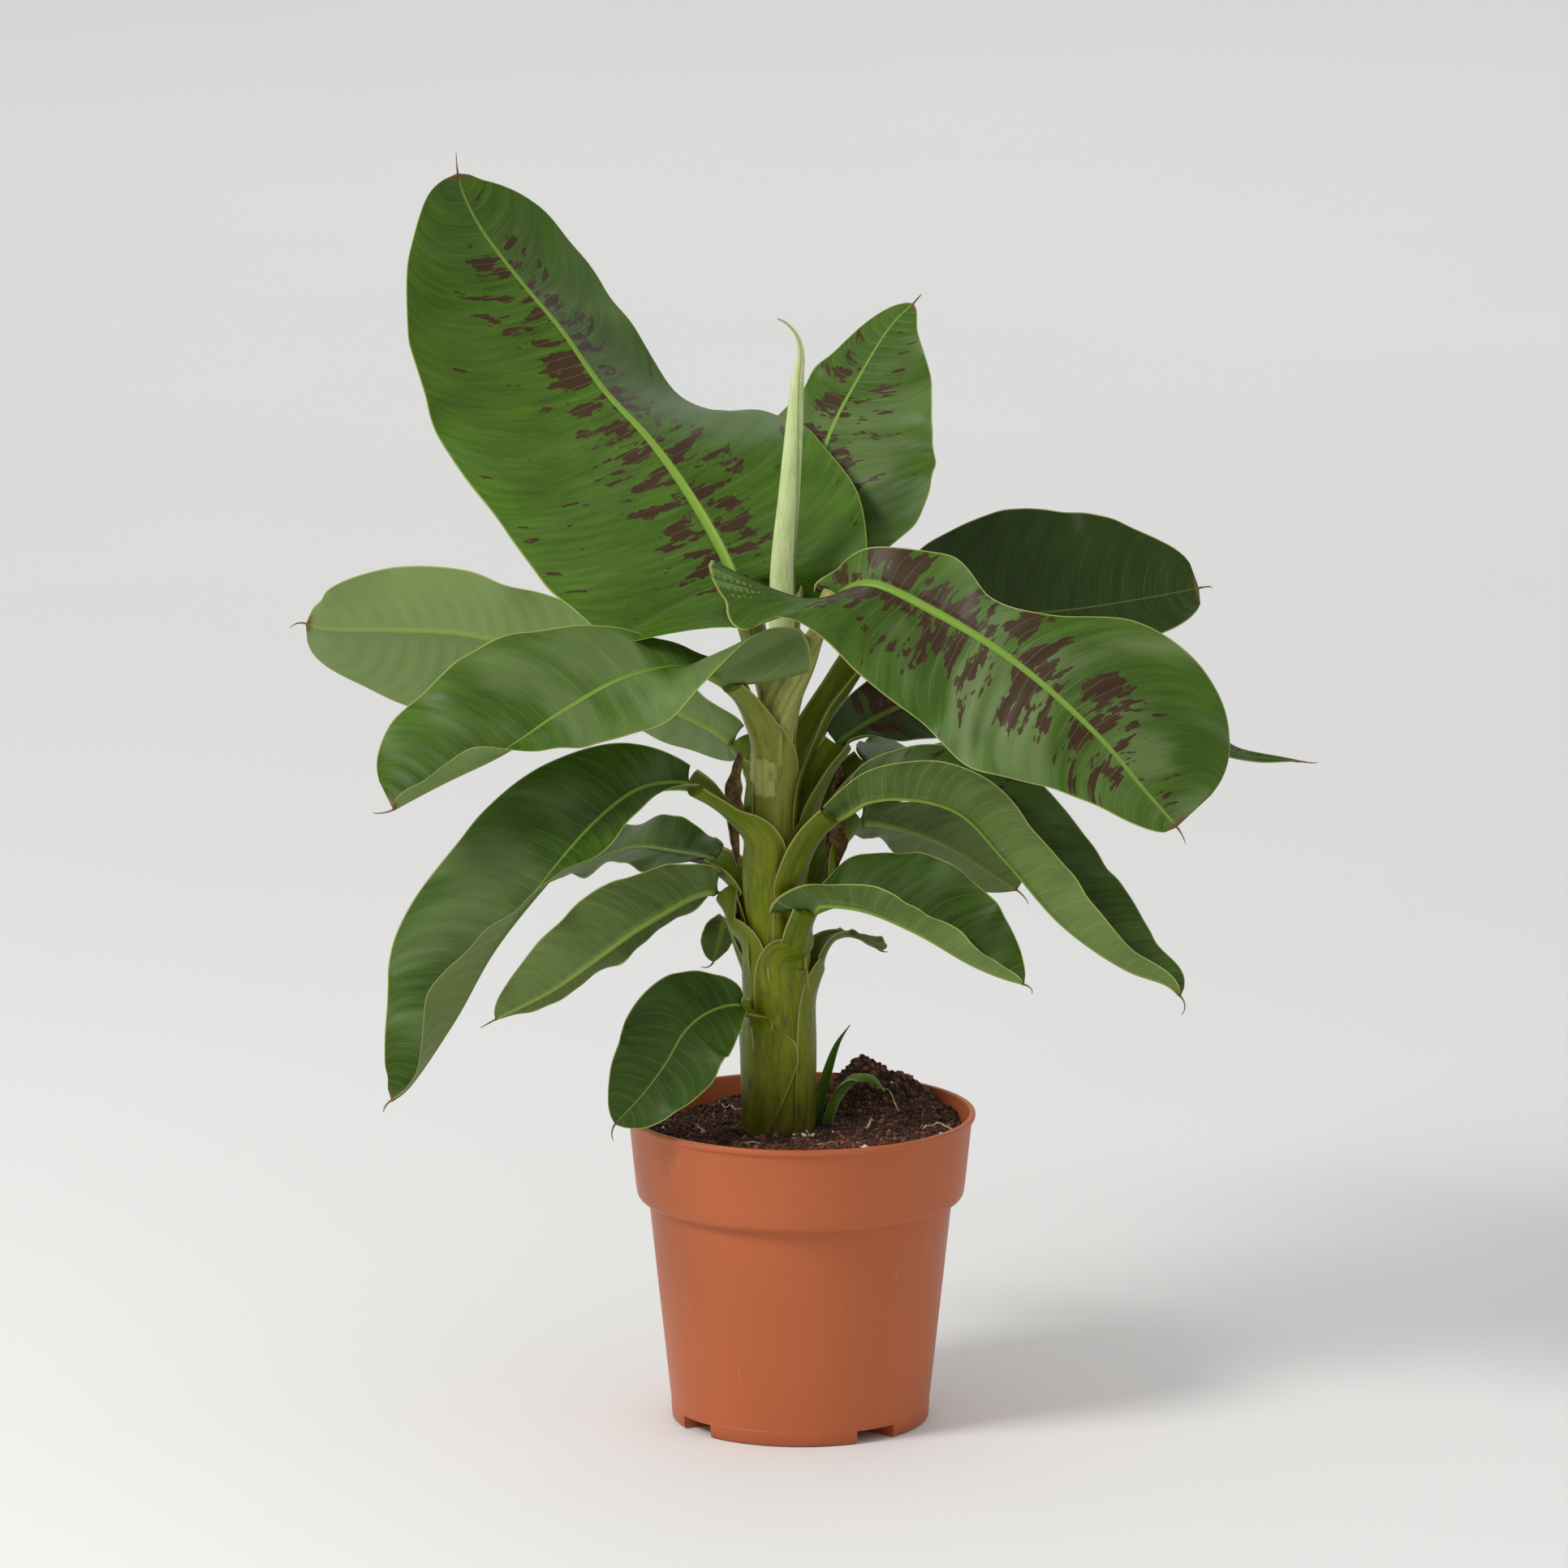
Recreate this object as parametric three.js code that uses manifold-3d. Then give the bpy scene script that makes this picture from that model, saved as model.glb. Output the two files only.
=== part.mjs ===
// A young dwarf banana plant in a plastic grow pot: pot, compost, pseudostem, and a stalk and a blade for each leaf.
// Millimetres, +Z up. The origin is the centre of the pot's underside, and -Y is the front.
import * as THREE from "three";
import { mergeVertices } from "three/addons/utils/BufferGeometryUtils.js";
import Module from "manifold-3d";

// Pot
const POT_HEIGHT = 190;
const RIM_RADIUS = 106;
const FOOT_RADIUS = 78;
const BODY_TOP_RADIUS = 92;
const BAND_RADIUS = 99.5;
const BAND_FOOT = 137;
const WALL = 2.2;
const LIP = 4;
const CHANNEL_HEIGHT = 8;
const CHANNEL_WIDTH = 27;
const CHANNEL_INNER = 42;
const CHANNEL_COUNT = 4;
const FIRST_CHANNEL_DEG = -54;
const DRAIN_RADIUS = 5;
const SEGMENTS = 28;

// Compost
const SOIL_LEVEL = 178;

// Gap left between pieces that touch
const GAP = 0.3;

// Leaves
const BLADE_THICKNESS = 1.6;
const RIB_ACROSS = 0.09;
const RIB_DEPTH = 5;
const STALK_SIDES = 6;
const SPINE_SAMPLES = 240;

const wasm = await Module();
wasm.setup();

const COLOURS = {
  pot: [0xb55a3c, 0.45],
  soil: [0x2c1a12, 0.95],
  stem: [0x6f7f2a, 0.5],
  stalk: [0x7f9435, 0.5],
  blade: [0x2f5a1c, 0.4],
  rolled: [0xa9bf86, 0.5],
  dry: [0x4a2d18, 0.9],
};

const plant = new THREE.Group();

function addMesh(name, geometry, look) {
  const [color, roughness] = COLOURS[look];
  const material = new THREE.MeshStandardMaterial({ color, roughness, metalness: 0 });
  const mesh = new THREE.Mesh(geometry, material);
  mesh.name = name;
  plant.add(mesh);
  return mesh;
}

// A closed geometry as a manifold-3d solid, and back.
function solidOf(geometry) {
  const bare = new THREE.BufferGeometry();
  bare.setAttribute("position", geometry.getAttribute("position"));
  bare.setIndex(geometry.getIndex());
  const merged = mergeVertices(bare, 1e-3);
  return new wasm.Manifold(
    new wasm.Mesh({
      numProp: 3,
      vertProperties: new Float32Array(merged.getAttribute("position").array),
      triVerts: new Uint32Array(merged.getIndex().array),
    }),
  );
}

function geometryOf(solid) {
  const { numProp, vertProperties, triVerts } = solid.getMesh();
  const count = vertProperties.length / numProp;
  const xyz = new Float32Array(count * 3);
  for (let i = 0; i < count; i++) {
    xyz.set(vertProperties.subarray(i * numProp, i * numProp + 3), i * 3);
  }
  const geometry = new THREE.BufferGeometry();
  geometry.setAttribute("position", new THREE.BufferAttribute(xyz, 3));
  geometry.setIndex(new THREE.BufferAttribute(new Uint32Array(triVerts), 1));
  return geometry;
}

// The largest piece of a solid that a cut may have left in several.
function largest(solid) {
  return solid.decompose().reduce((a, b) => (a.volume() > b.volume() ? a : b));
}

// A closed skin over rings of points: side faces between the rings, and a fan over each end.
function skin(rings) {
  const sides = rings[0].length;
  const points = [...rings.flat(), centreOf(rings[0]), centreOf(rings.at(-1))];
  const first = points.length - 2;
  const last = points.length - 1;
  const top = (rings.length - 1) * sides;
  const index = [];
  for (let k = 0; k < sides; k++) {
    const next = (k + 1) % sides;
    for (let i = 0; i < rings.length - 1; i++) {
      const [a, b] = [i * sides + k, i * sides + next];
      index.push(a, b, b + sides, a, b + sides, a + sides);
    }
    index.push(first, next, k, last, top + k, top + next);
  }
  return outward(points, index);
}

// A geometry of these triangles with every face turned outwards.
function outward(points, index) {
  let volume = 0;
  for (let t = 0; t < index.length; t += 3) {
    const [a, b, c] = [points[index[t]], points[index[t + 1]], points[index[t + 2]]];
    volume += a.dot(b.clone().cross(c));
  }
  if (volume < 0) index.reverse();
  const geometry = new THREE.BufferGeometry().setFromPoints(points);
  geometry.setIndex(index);
  return geometry;
}

function centreOf(ring) {
  const sum = new THREE.Vector3();
  for (const p of ring) sum.add(p);
  return sum.divideScalar(ring.length);
}

// A smooth line through equally spaced values, at s from 0 to 1.
function track(values, s) {
  if (values.length === 1) return values[0];
  const line = new THREE.SplineCurve(values.map((v, i) => new THREE.Vector2(i, v)));
  return line.getPoint(s).y;
}

// The line of a leaf from its root on the stem, along the stalk and the midrib to the tip, by length.
function spineOf(leaf) {
  const points = [...leaf.stalk, ...leaf.rib].map((p) => new THREE.Vector3(...p));
  const curve = new THREE.CatmullRomCurve3(points, false, "centripetal");
  curve.arcLengthDivisions = SPINE_SAMPLES;
  const lengths = curve.getLengths();
  const bladeAt = leaf.stalk.length / (points.length - 1);
  const stalkLength = lengths[Math.round(bladeAt * SPINE_SAMPLES)];
  const base = points[leaf.stalk.length];
  const heading = points.at(-1).clone().sub(base).setZ(0).normalize();
  const across = new THREE.Vector3(heading.y, -heading.x, 0);
  return { curve, total: lengths.at(-1), stalkLength, across };
}

// Point, tangent, side and normal of the spine at length d. The side is on the right seen from the root.
function frameAt(spine, d, roll) {
  const u = THREE.MathUtils.clamp(d / spine.total, 0, 1);
  const point = spine.curve.getPointAt(u);
  const along = spine.curve.getTangentAt(u);
  const side = spine.across.clone().addScaledVector(along, -spine.across.dot(along)).normalize();
  const normal = side.clone().cross(along);
  const a = THREE.MathUtils.degToRad(roll);
  return {
    point,
    along,
    side: side.clone().multiplyScalar(Math.cos(a)).addScaledVector(normal, Math.sin(a)),
    normal: normal.clone().multiplyScalar(Math.cos(a)).addScaledVector(side, -Math.sin(a)),
  };
}

// Share of the full half-width at s: a power of a quarter circle on each side of the widest place, and not less
// than the leaf's open share before it.
function outline(leaf, s, k) {
  const [base, tip] = leaf.ends;
  const w = leaf.widest;
  const off = s < w ? (w - s) / w : (s - w) / (1 - w);
  const share = Math.pow(Math.max(1 - off * off, 0), s < w ? base : tip);
  return s < w ? leaf.open[k] + (1 - leaf.open[k]) * share : share;
}

// The blade at s along the midrib and v across, from -1 at the left margin to 1 at the right one. Each half
// leaves the midrib at its fold angle and turns by its curl on the way to a waved margin.
function bladePoint(leaf, spine, s, v) {
  const right = v > 0;
  const r = Math.abs(v);
  const k = right ? 1 : 0;
  const length = spine.total - spine.stalkLength;
  const { point, along, side, normal } = frameAt(
    spine,
    spine.stalkLength + GAP + s * (length - GAP),
    track(leaf.roll, s),
  );
  const half = Math.max(leaf.half[k] * track(leaf.spread[k], s) * outline(leaf, s, k), 1.5);
  const fold = THREE.MathUtils.degToRad(track(leaf.fold[k], s));
  const curl = THREE.MathUtils.degToRad(track(leaf.curl[k], s)) || 1e-6;
  const bend = fold + curl * r;
  const out = (half / curl) * (Math.sin(bend) - Math.sin(fold));
  const up = (half / curl) * (Math.cos(fold) - Math.cos(bend));
  const [height, count, phase] = leaf.wave;
  const wave = height * r * r * outline(leaf, s, k) * Math.sin(2 * Math.PI * (count * s + phase + 0.3 * k));
  const back = leaf.lobe[k] * Math.pow(r, 1.5) * Math.pow(1 - s, 5);
  const sign = right ? 1 : -1;
  const lift = Math.cos(bend);
  const position = point
    .clone()
    .addScaledVector(side, sign * (out - wave * Math.sin(bend)))
    .addScaledVector(normal, up + wave * lift)
    .addScaledVector(along, -back);
  const face = normal
    .clone()
    .multiplyScalar(lift)
    .addScaledVector(side, -sign * Math.sin(bend));
  return { position, face };
}

// A blade as one thin closed solid, with the midrib as a ridge under it.
function bladeGeometry(leaf, spine) {
  const across = [-1, -0.5, -RIB_ACROSS, RIB_ACROSS, 0.5, 1];
  const rings = [];
  for (let i = 0; i <= leaf.steps; i++) {
    const s = i / leaf.steps;
    const row = across.map((v) => bladePoint(leaf, spine, s, v));
    const rib = (v) => (Math.abs(v) === RIB_ACROSS ? RIB_DEPTH * (1 - 0.8 * s) * leaf.stout : 0);
    const top = row.map((p) => p.position.clone().addScaledVector(p.face, BLADE_THICKNESS / 2));
    const under = row.map((p, j) =>
      p.position.clone().addScaledVector(p.face, -BLADE_THICKNESS / 2 - rib(across[j])),
    );
    rings.push([...under, ...top.reverse()]);
  }
  return strip(rings);
}

// A closed skin over rings of a flat section, whose end faces are strips between its two long sides.
function strip(rings) {
  const sides = rings[0].length;
  const half = sides / 2;
  const index = [];
  for (let i = 0; i < rings.length - 1; i++) {
    for (let k = 0; k < sides; k++) {
      const next = (k + 1) % sides;
      const [a, b] = [i * sides + k, i * sides + next];
      index.push(a, b + sides, b, a, a + sides, b + sides);
    }
  }
  const end = (rings.length - 1) * sides;
  for (let k = 0; k < half - 1; k++) {
    const [a, b, c, d] = [k, k + 1, sides - 2 - k, sides - 1 - k];
    index.push(a, b, c, a, c, d);
    index.push(end + a, end + c, end + b, end + a, end + d, end + c);
  }
  return outward(rings.flat(), index);
}

// A stalk as a tapering tube, wide across the leaf and thinner through it; grow adds to it all round.
function stalkGeometry(leaf, spine, grow) {
  const [rootWide, rootThick, endWide, endThick] = leaf.stem.map((r) => r * leaf.stout);
  const steps = leaf.stalk.length * 2;
  const rings = [];
  for (let i = 0; i <= steps; i++) {
    const t = i / steps;
    const { point, side, normal } = frameAt(spine, t * (spine.stalkLength + grow), leaf.roll[0] * t);
    const wide = THREE.MathUtils.lerp(rootWide, endWide, t) + grow;
    const thick = THREE.MathUtils.lerp(rootThick, endThick, t) + grow;
    rings.push(ellipse(point, side, normal, wide, thick, STALK_SIDES));
  }
  return skin(rings);
}

function ellipse(centre, side, normal, wide, thick, sides) {
  return Array.from({ length: sides }, (_, k) => {
    const a = (2 * Math.PI * k) / sides;
    return centre
      .clone()
      .addScaledVector(side, wide * Math.cos(a))
      .addScaledVector(normal, thick * Math.sin(a));
  });
}

// Stalk and rib are points of the leaf's line: the stalk from the pseudostem, the rib from the blade's base to
// the tip. The pairs are for the left and right halves, seen from the root. Spread scales the half width, and
// spread, fold, curl and roll are read along the blade. Stem is the stalk's half width and half thickness at the
// root and at the blade.
const PLAIN = {
  widest: 0.42,
  ends: [0.5, 0.6],
  roll: [0],
  spread: [[1], [1]],
  fold: [[10], [10]],
  curl: [[0], [0]],
  wave: [3, 3, 0],
  lobe: [0, 0],
  open: [0, 0],
  stem: [9, 6, 5, 5],
  stout: 1,
  steps: 9,
};

const LEAVES = [
  {
    name: "leaf_tall_left",
    stalk: [[-18, 4, 440], [-27, 8, 466], [-31, 12, 482]],
    rib: [
      [-36, 16, 500], [-45, 25, 524], [-67, 48, 560], [-92, 72, 591], [-119, 95, 617], [-146, 118, 651],
      [-171, 135, 678], [-196, 148, 709], [-207, 152, 731], [-209, 153, 741],
    ],
    half: [112, 100],
    widest: 0.5,
    ends: [0.35, 0.5],
    spread: [[1.05, 1.02, 0.97, 0.92, 0.93, 0.95, 0.85], [1.08, 1.05, 0.98, 1.03, 1.03, 0.86, 0.9, 0.84, 0.5]],
    fold: [[-30, -40, -40, -25, 0], [50, 25, -12, -5, 20]],
    curl: [[0], [20, 0, 0, 0]],
    lobe: [25, 30],
    open: [0.4, 0.4],
  },
  {
    name: "leaf_tall_right",
    stalk: [[-9, 8, 455], [-8, 14, 475], [-7, 22, 492]],
    rib: [[-3, 40, 514], [6, 68, 547], [17, 98, 587], [37, 125, 622], [56, 145, 649], [69, 152, 661]],
    half: [62, 76],
    widest: 0.45,
    spread: [[1, 1, 0.9, 0.6, 0.6], [1.1, 1.05, 0.9, 0.75, 0.5]],
    fold: [[0, -10, 0], [-10, -10, -10]],
  },
  {
    name: "leaf_broad_right",
    stalk: [[-1, -5, 456], [5, -14, 476], [14, -24, 497]],
    rib: [
      [22, -34, 512], [40, -50, 523], [79, -70, 510], [126, -95, 485], [174, -120, 446], [205, -136, 412],
      [221, -143, 395],
    ],
    half: [66, 66],
    widest: 0.55,
    ends: [0.5, 0.32],
    roll: [-40, -50, -50, -40],
    spread: [[0.6, 0.52, 0.62, 0.38, 0.55, 0.97, 1.18, 1.3, 1.45], [0.9, 0.85, 0.95, 1, 0.62, 0.4]],
    fold: [[10, 10, 25, 10, 0], [30, 0, 0, 0]],
    curl: [[0], [-60, -10, 0, 0]],
    lobe: [15, 0],
    open: [0.2, 0.6],
  },
  {
    name: "leaf_back_right_high",
    stalk: [[-6, 14, 395], [22, 46, 440], [48, 62, 472]],
    rib: [[62, 69, 468], [105, 92, 476], [165, 112, 478], [215, 122, 484], [244, 126, 489]],
    half: [66, 34],
    widest: 0.5,
    ends: [0.5, 0.3],
    roll: [-50, -60, -55],
    spread: [[1, 1, 1, 0.9, 0.7], [0.9, 0.9, 0.8, 0.85, 0.9]],
    fold: [[5], [0]],
  },
  {
    name: "leaf_back_left_high",
    stalk: [[-20, 15, 385], [-34, 33, 402]],
    rib: [
      [-40, 40, 411], [-67, 70, 421], [-142, 105, 447], [-202, 125, 460], [-252, 140, 460], [-293, 150, 459],
      [-304, 152, 462],
    ],
    half: [54, 62],
    widest: 0.6,
    ends: [0.5, 0.4],
    roll: [-50, -60, -60],
    spread: [[0.6, 0.75, 0.85, 0.95], [1.25, 1, 0.9, 1.3, 1.3]],
  },
  {
    name: "leaf_broad_left",
    stalk: [[-20, -12, 425], [-28, -18, 440], [-37, -24, 452]],
    rib: [
      [-44, -28, 460], [-66, -38, 470], [-102, -50, 468], [-139, -70, 452], [-176, -90, 430], [-215, -105, 412],
      [-241, -112, 399],
    ],
    half: [46, 62],
    widest: 0.6,
    ends: [0.45, 0.35],
    roll: [20, 45, 50, 50],
    spread: [[1, 1, 0.7, 0.45, 0.4], [0.35, 0.6, 0.95, 1, 1.1]],
    fold: [[90, 30, 0, 40, 100, 110], [20, 10, 10, 0, -10]],
    lobe: [45, 0],
    open: [0.5, 0],
  },
  {
    name: "leaf_long_left",
    stalk: [[-18, -8, 347], [-42, -20, 379], [-58, -30, 394]],
    rib: [
      [-66, -35, 399], [-95, -50, 399], [-122, -65, 382], [-154, -85, 348], [-182, -100, 312], [-206, -112, 270],
      [-235, -120, 230], [-243, -122, 225],
    ],
    half: [42, 58],
    widest: 0.6,
    ends: [0.6, 0.45],
    roll: [30, 40, 50],
    spread: [[0.6, 0.65, 1, 1.25, 1.3], [1, 1.05, 1, 0.95, 0.6]],
    fold: [[15, 20, 70, 95, 75], [30, 20, 5, 5]],
  },
  {
    name: "leaf_back_left_mid",
    stalk: [[-24, 14, 300], [-38, 30, 328]],
    rib: [[-52, 41, 336], [-77, 58, 338], [-102, 75, 337], [-132, 92, 323], [-167, 105, 308]],
    half: [30, 30],
    roll: [20],
  },
  {
    name: "leaf_low_left",
    stalk: [[-26, 0, 274], [-40, 8, 308]],
    rib: [[-50, 18, 323], [-92, 50, 297], [-122, 65, 272], [-152, 80, 247], [-187, 92, 226]],
    half: [35, 12],
    roll: [-55],
  },
  {
    name: "leaf_foot_left",
    stalk: [[-23, -15, 233], [-27, -24, 254]],
    rib: [[-36, -30, 262], [-54, -42, 261], [-69, -54, 252], [-81, -65, 234], [-95, -75, 217], [-111, -82, 201]],
    half: [31, 34],
    roll: [50],
    stem: [6, 4, 3, 3],
  },
  {
    name: "leaf_low_right",
    stalk: [[-6, -14, 262], [-2, -20, 296], [3, -25, 316]],
    rib: [[7, -28, 322], [36, -42, 324], [70, -58, 313], [103, -72, 296], [123, -80, 289], [133, -84, 287]],
    half: [48, 16],
    fold: [[45, 50, 50], [80]],
    lobe: [0, 24],
    open: [0, 0.5],
  },
  {
    name: "leaf_long_right",
    stalk: [[-6, -12, 326], [2, -15, 353], [14, -24, 373]],
    rib: [
      [21, -28, 379], [55, -45, 392], [94, -62, 387], [122, -78, 361], [156, -95, 325], [194, -108, 301],
      [218, -114, 293], [225, -116, 287],
    ],
    half: [57, 28],
    spread: [[0.6, 0.8, 1, 1], [1, 1, 1, 1]],
    fold: [[80, 50, 35, 30], [80, 90, 90, 60]],
  },
  {
    name: "leaf_back_right_mid",
    stalk: [[4, 15, 307], [17, 35, 338], [30, 50, 354]],
    rib: [[36, 55, 359], [61, 80, 350], [89, 98, 335], [114, 108, 317], [133, 112, 303]],
    half: [44, 44],
    widest: 0.55,
    roll: [30],
  },
  {
    name: "leaf_back_right_small",
    stalk: [[-1, 15, 342], [17, 30, 376], [34, 45, 391]],
    rib: [[41, 50, 395], [66, 75, 398], [86, 95, 381], [96, 105, 359]],
    half: [30, 30],
  },
  {
    name: "leaf_far_right",
    stalk: [[-2, 4, 348], [9, 8, 385], [17, 14, 407]],
    rib: [
      [23, 19, 413], [51, 34, 428], [106, 50, 444], [170, 70, 442], [226, 95, 421], [266, 108, 390],
      [306, 115, 383],
    ],
    half: [38, 46],
    roll: [-30, -40, -40],
    spread: [[1, 1, 0.9, 0.4, 0.22], [1, 1, 0.8, 0.35, 0.22]],
  },
  {
    name: "leaf_back_right_low",
    stalk: [[7, 15, 261], [14, 30, 286]],
    rib: [[27, 45, 290], [42, 62, 281], [49, 70, 274]],
    half: [14, 14],
    stem: [5, 4, 2, 2],
  },
  {
    name: "leaf_back_left_low",
    stalk: [[-24, 14, 255], [-37, 35, 287]],
    rib: [[-45, 50, 299], [-50, 62, 281], [-53, 66, 268]],
    half: [12, 12],
    stem: [5, 4, 2, 2],
  },
];

// Pot: a turned shell with a deeper band under the lip and four channels under the foot.
function potProfile() {
  const floorTop = WALL;
  return [
    [0, 0],
    [FOOT_RADIUS - 3, 0],
    [FOOT_RADIUS - 0.8, 0.9],
    [FOOT_RADIUS, 3],
    [BODY_TOP_RADIUS, BAND_FOOT],
    [BAND_RADIUS - 2.5, BAND_FOOT + 1],
    [BAND_RADIUS - 0.6, BAND_FOOT + 3],
    [BAND_RADIUS, BAND_FOOT + 6],
    [RIM_RADIUS - 1.6, POT_HEIGHT - LIP],
    [RIM_RADIUS, POT_HEIGHT - LIP + 0.8],
    [RIM_RADIUS, POT_HEIGHT - 1],
    [RIM_RADIUS - 1, POT_HEIGHT],
    [RIM_RADIUS - LIP, POT_HEIGHT],
    [BAND_RADIUS - WALL, BAND_FOOT + 6],
    [BODY_TOP_RADIUS - WALL, BAND_FOOT],
    [FOOT_RADIUS - WALL, floorTop + 2],
    [FOOT_RADIUS - WALL - 2, floorTop],
    [0, floorTop],
  ].map(([r, z]) => new THREE.Vector2(r, z));
}

function turned(profile, segments) {
  const geometry = new THREE.LatheGeometry(profile, segments);
  geometry.rotateX(Math.PI / 2);
  return solidOf(geometry);
}

// A block lying along a channel, from inner to outer radius.
function channelBlock(angle, inner, outer, width, foot, top) {
  const geometry = new THREE.BoxGeometry(outer - inner, width, top - foot);
  geometry.translate((inner + outer) / 2, 0, (foot + top) / 2);
  geometry.rotateZ(THREE.MathUtils.degToRad(angle));
  return solidOf(geometry);
}

const channelAngles = Array.from(
  { length: CHANNEL_COUNT },
  (_, i) => FIRST_CHANNEL_DEG - 90 + (360 * i) / CHANNEL_COUNT,
);

function housing(angle, grow) {
  const inner = CHANNEL_INNER - WALL - grow;
  const width = CHANNEL_WIDTH + 2 * (WALL + grow);
  return channelBlock(angle, inner, FOOT_RADIUS - 1.2, width, 0.4, CHANNEL_HEIGHT + WALL + grow);
}

function pot() {
  let body = turned(potProfile(), SEGMENTS);
  for (const angle of channelAngles) body = body.add(housing(angle, 0));
  for (const angle of channelAngles) {
    body = body.subtract(
      channelBlock(angle, CHANNEL_INNER, FOOT_RADIUS + 5, CHANNEL_WIDTH, -1, CHANNEL_HEIGHT),
    );
    const drain = new THREE.CylinderGeometry(DRAIN_RADIUS, DRAIN_RADIUS, 20, 8);
    drain.rotateX(Math.PI / 2);
    drain.translate((CHANNEL_INNER + FOOT_RADIUS) / 2 - 2, 0, CHANNEL_HEIGHT + 1);
    drain.rotateZ(THREE.MathUtils.degToRad(angle));
    body = body.subtract(solidOf(drain));
  }
  return body;
}

// Height of the compost: level, heaped at the back right, a little hollow at the back left.
function soilHeight(x, y) {
  const mound = (cx, cy, spread) => Math.exp(-((x - cx) ** 2 + (y - cy) ** 2) / (2 * spread ** 2));
  return (
    SOIL_LEVEL +
    12 * mound(42, 62, 24) -
    6 * mound(-52, 50, 28) +
    4 * mound(60, -50, 40) +
    3 * mound(-30, -75, 40) +
    1.2 * Math.sin(x / 7 + 1) * Math.sin(y / 9)
  );
}

function wallInside(z) {
  const t = (z - BAND_FOOT - 6) / (POT_HEIGHT - BAND_FOOT - 6);
  return THREE.MathUtils.lerp(BAND_RADIUS - WALL, RIM_RADIUS - LIP, t);
}

function soil() {
  const under = [
    [FOOT_RADIUS - WALL - 2 - GAP, WALL + GAP],
    [FOOT_RADIUS - WALL - GAP, WALL + 2 + GAP],
    [BODY_TOP_RADIUS - WALL - GAP, BAND_FOOT + GAP],
    [BAND_RADIUS - WALL - GAP, BAND_FOOT + 6 + GAP],
  ];
  const rings = under.map(([r, z]) => circle(r, () => z));
  const edge = wallInside(SOIL_LEVEL) - GAP;
  const brim = circle(edge, (x, y) => soilHeight(x, y) - 4);
  for (const p of brim) {
    const share = (wallInside(p.z) - GAP) / edge;
    p.set(p.x * share, p.y * share, p.z);
  }
  rings.push(brim);
  for (const share of [0.93, 0.78, 0.6, 0.45, 0.3]) rings.push(circle(edge * share, soilHeight));
  return skin(rings);
}

function circle(r, height) {
  return Array.from({ length: SEGMENTS }, (_, k) => {
    const a = (2 * Math.PI * k) / SEGMENTS;
    const [x, y] = [r * Math.cos(a), r * Math.sin(a)];
    return new THREE.Vector3(x, y, height(x, y));
  });
}

// Pseudostem: centre and half widths from side to side and from front to back.
const STEM = [
  [-13, 0, 160, 24, 23],
  [-13, 0, 182, 23, 22],
  [-13, 0, 225, 22.5, 21],
  [-14, 0, 275, 21.5, 20],
  [-16, 0, 325, 20, 19],
  [-18, 0, 375, 18, 17],
  [-15, 0, 425, 14, 13.5],
  [-12, 0, 450, 11, 11],
  [-11, 0, 479, 9, 9],
];

function stemGeometry(grow) {
  const side = new THREE.Vector3(1, 0, 0);
  const normal = new THREE.Vector3(0, 1, 0);
  const end = STEM.length - 1;
  const rings = STEM.map(([x, y, z, wide, deep], i) => {
    const shift = i === 0 ? -grow : i === end ? grow : 0;
    return ellipse(new THREE.Vector3(x, y, z + shift), side, normal, wide + grow, deep + grow, 16);
  });
  return skin(rings);
}

// A tapering shoot along a line of points, with a half width and half thickness at each.
function shootGeometry(points, sides = 6) {
  const curve = new THREE.CatmullRomCurve3(points.map(([x, y, z]) => new THREE.Vector3(x, y, z)));
  const rings = points.map(([, , , wide, thick], i) => {
    const t = i / (points.length - 1);
    const along = curve.getTangent(t);
    const side = new THREE.Vector3(1, 0, 0).addScaledVector(along, -along.x).normalize();
    return ellipse(curve.getPoint(t), side, side.clone().cross(along), wide, thick, sides);
  });
  return skin(rings);
}

const ROLLED_LEAF = [
  [-11, 0, 479.3, 8.5, 8.5],
  [-11, 0, 500, 7.8, 7.8],
  [-11, 0, 524, 7.2, 7.2],
  [-7, 0, 570, 6.6, 6.4],
  [-4, 0, 610, 5.4, 5.2],
  [-2, 0, 637, 3.8, 3.6],
  [0, 0, 655, 1.8, 1.8],
  [-4, 0, 667, 1, 1],
  [-12, 0, 676, 0.5, 0.5],
];

const SHOOTS = {
  shoot_tall: [
    [11, 12, 186, 3.5, 2],
    [16, 15, 211, 4, 1.6],
    [22, 20, 228, 2.8, 1.3],
    [30, 24, 238, 0.6, 0.6],
  ],
  shoot_low: [
    [17, 2, 186, 3, 2],
    [22, 2, 202, 4, 1.6],
    [33, 0, 213, 4.5, 1.5],
    [43, -3, 211, 3, 1.2],
    [51, -5, 203, 0.6, 0.6],
  ],
};

const DRY_SHEATHS = {
  dry_sheath_left: [
    [-39, 14, 340, 2, 1.2],
    [-42, 16, 365, 6, 1.4],
    [-40, 18, 392, 7, 1.4],
    [-36, 20, 408, 2, 1],
  ],
  dry_sheath_right: [
    [18, 24, 330, 4, 1.4],
    [19, 27, 360, 8, 1.6],
    [21, 30, 388, 6, 1.6],
    [24, 31, 404, 2, 1],
  ],
};

const stemSolid = solidOf(stemGeometry(0));
const stemRoom = solidOf(stemGeometry(GAP));

let soilSolid = solidOf(soil());
for (const angle of channelAngles) soilSolid = soilSolid.subtract(housing(angle, GAP));
soilSolid = soilSolid.subtract(stemRoom);

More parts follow.
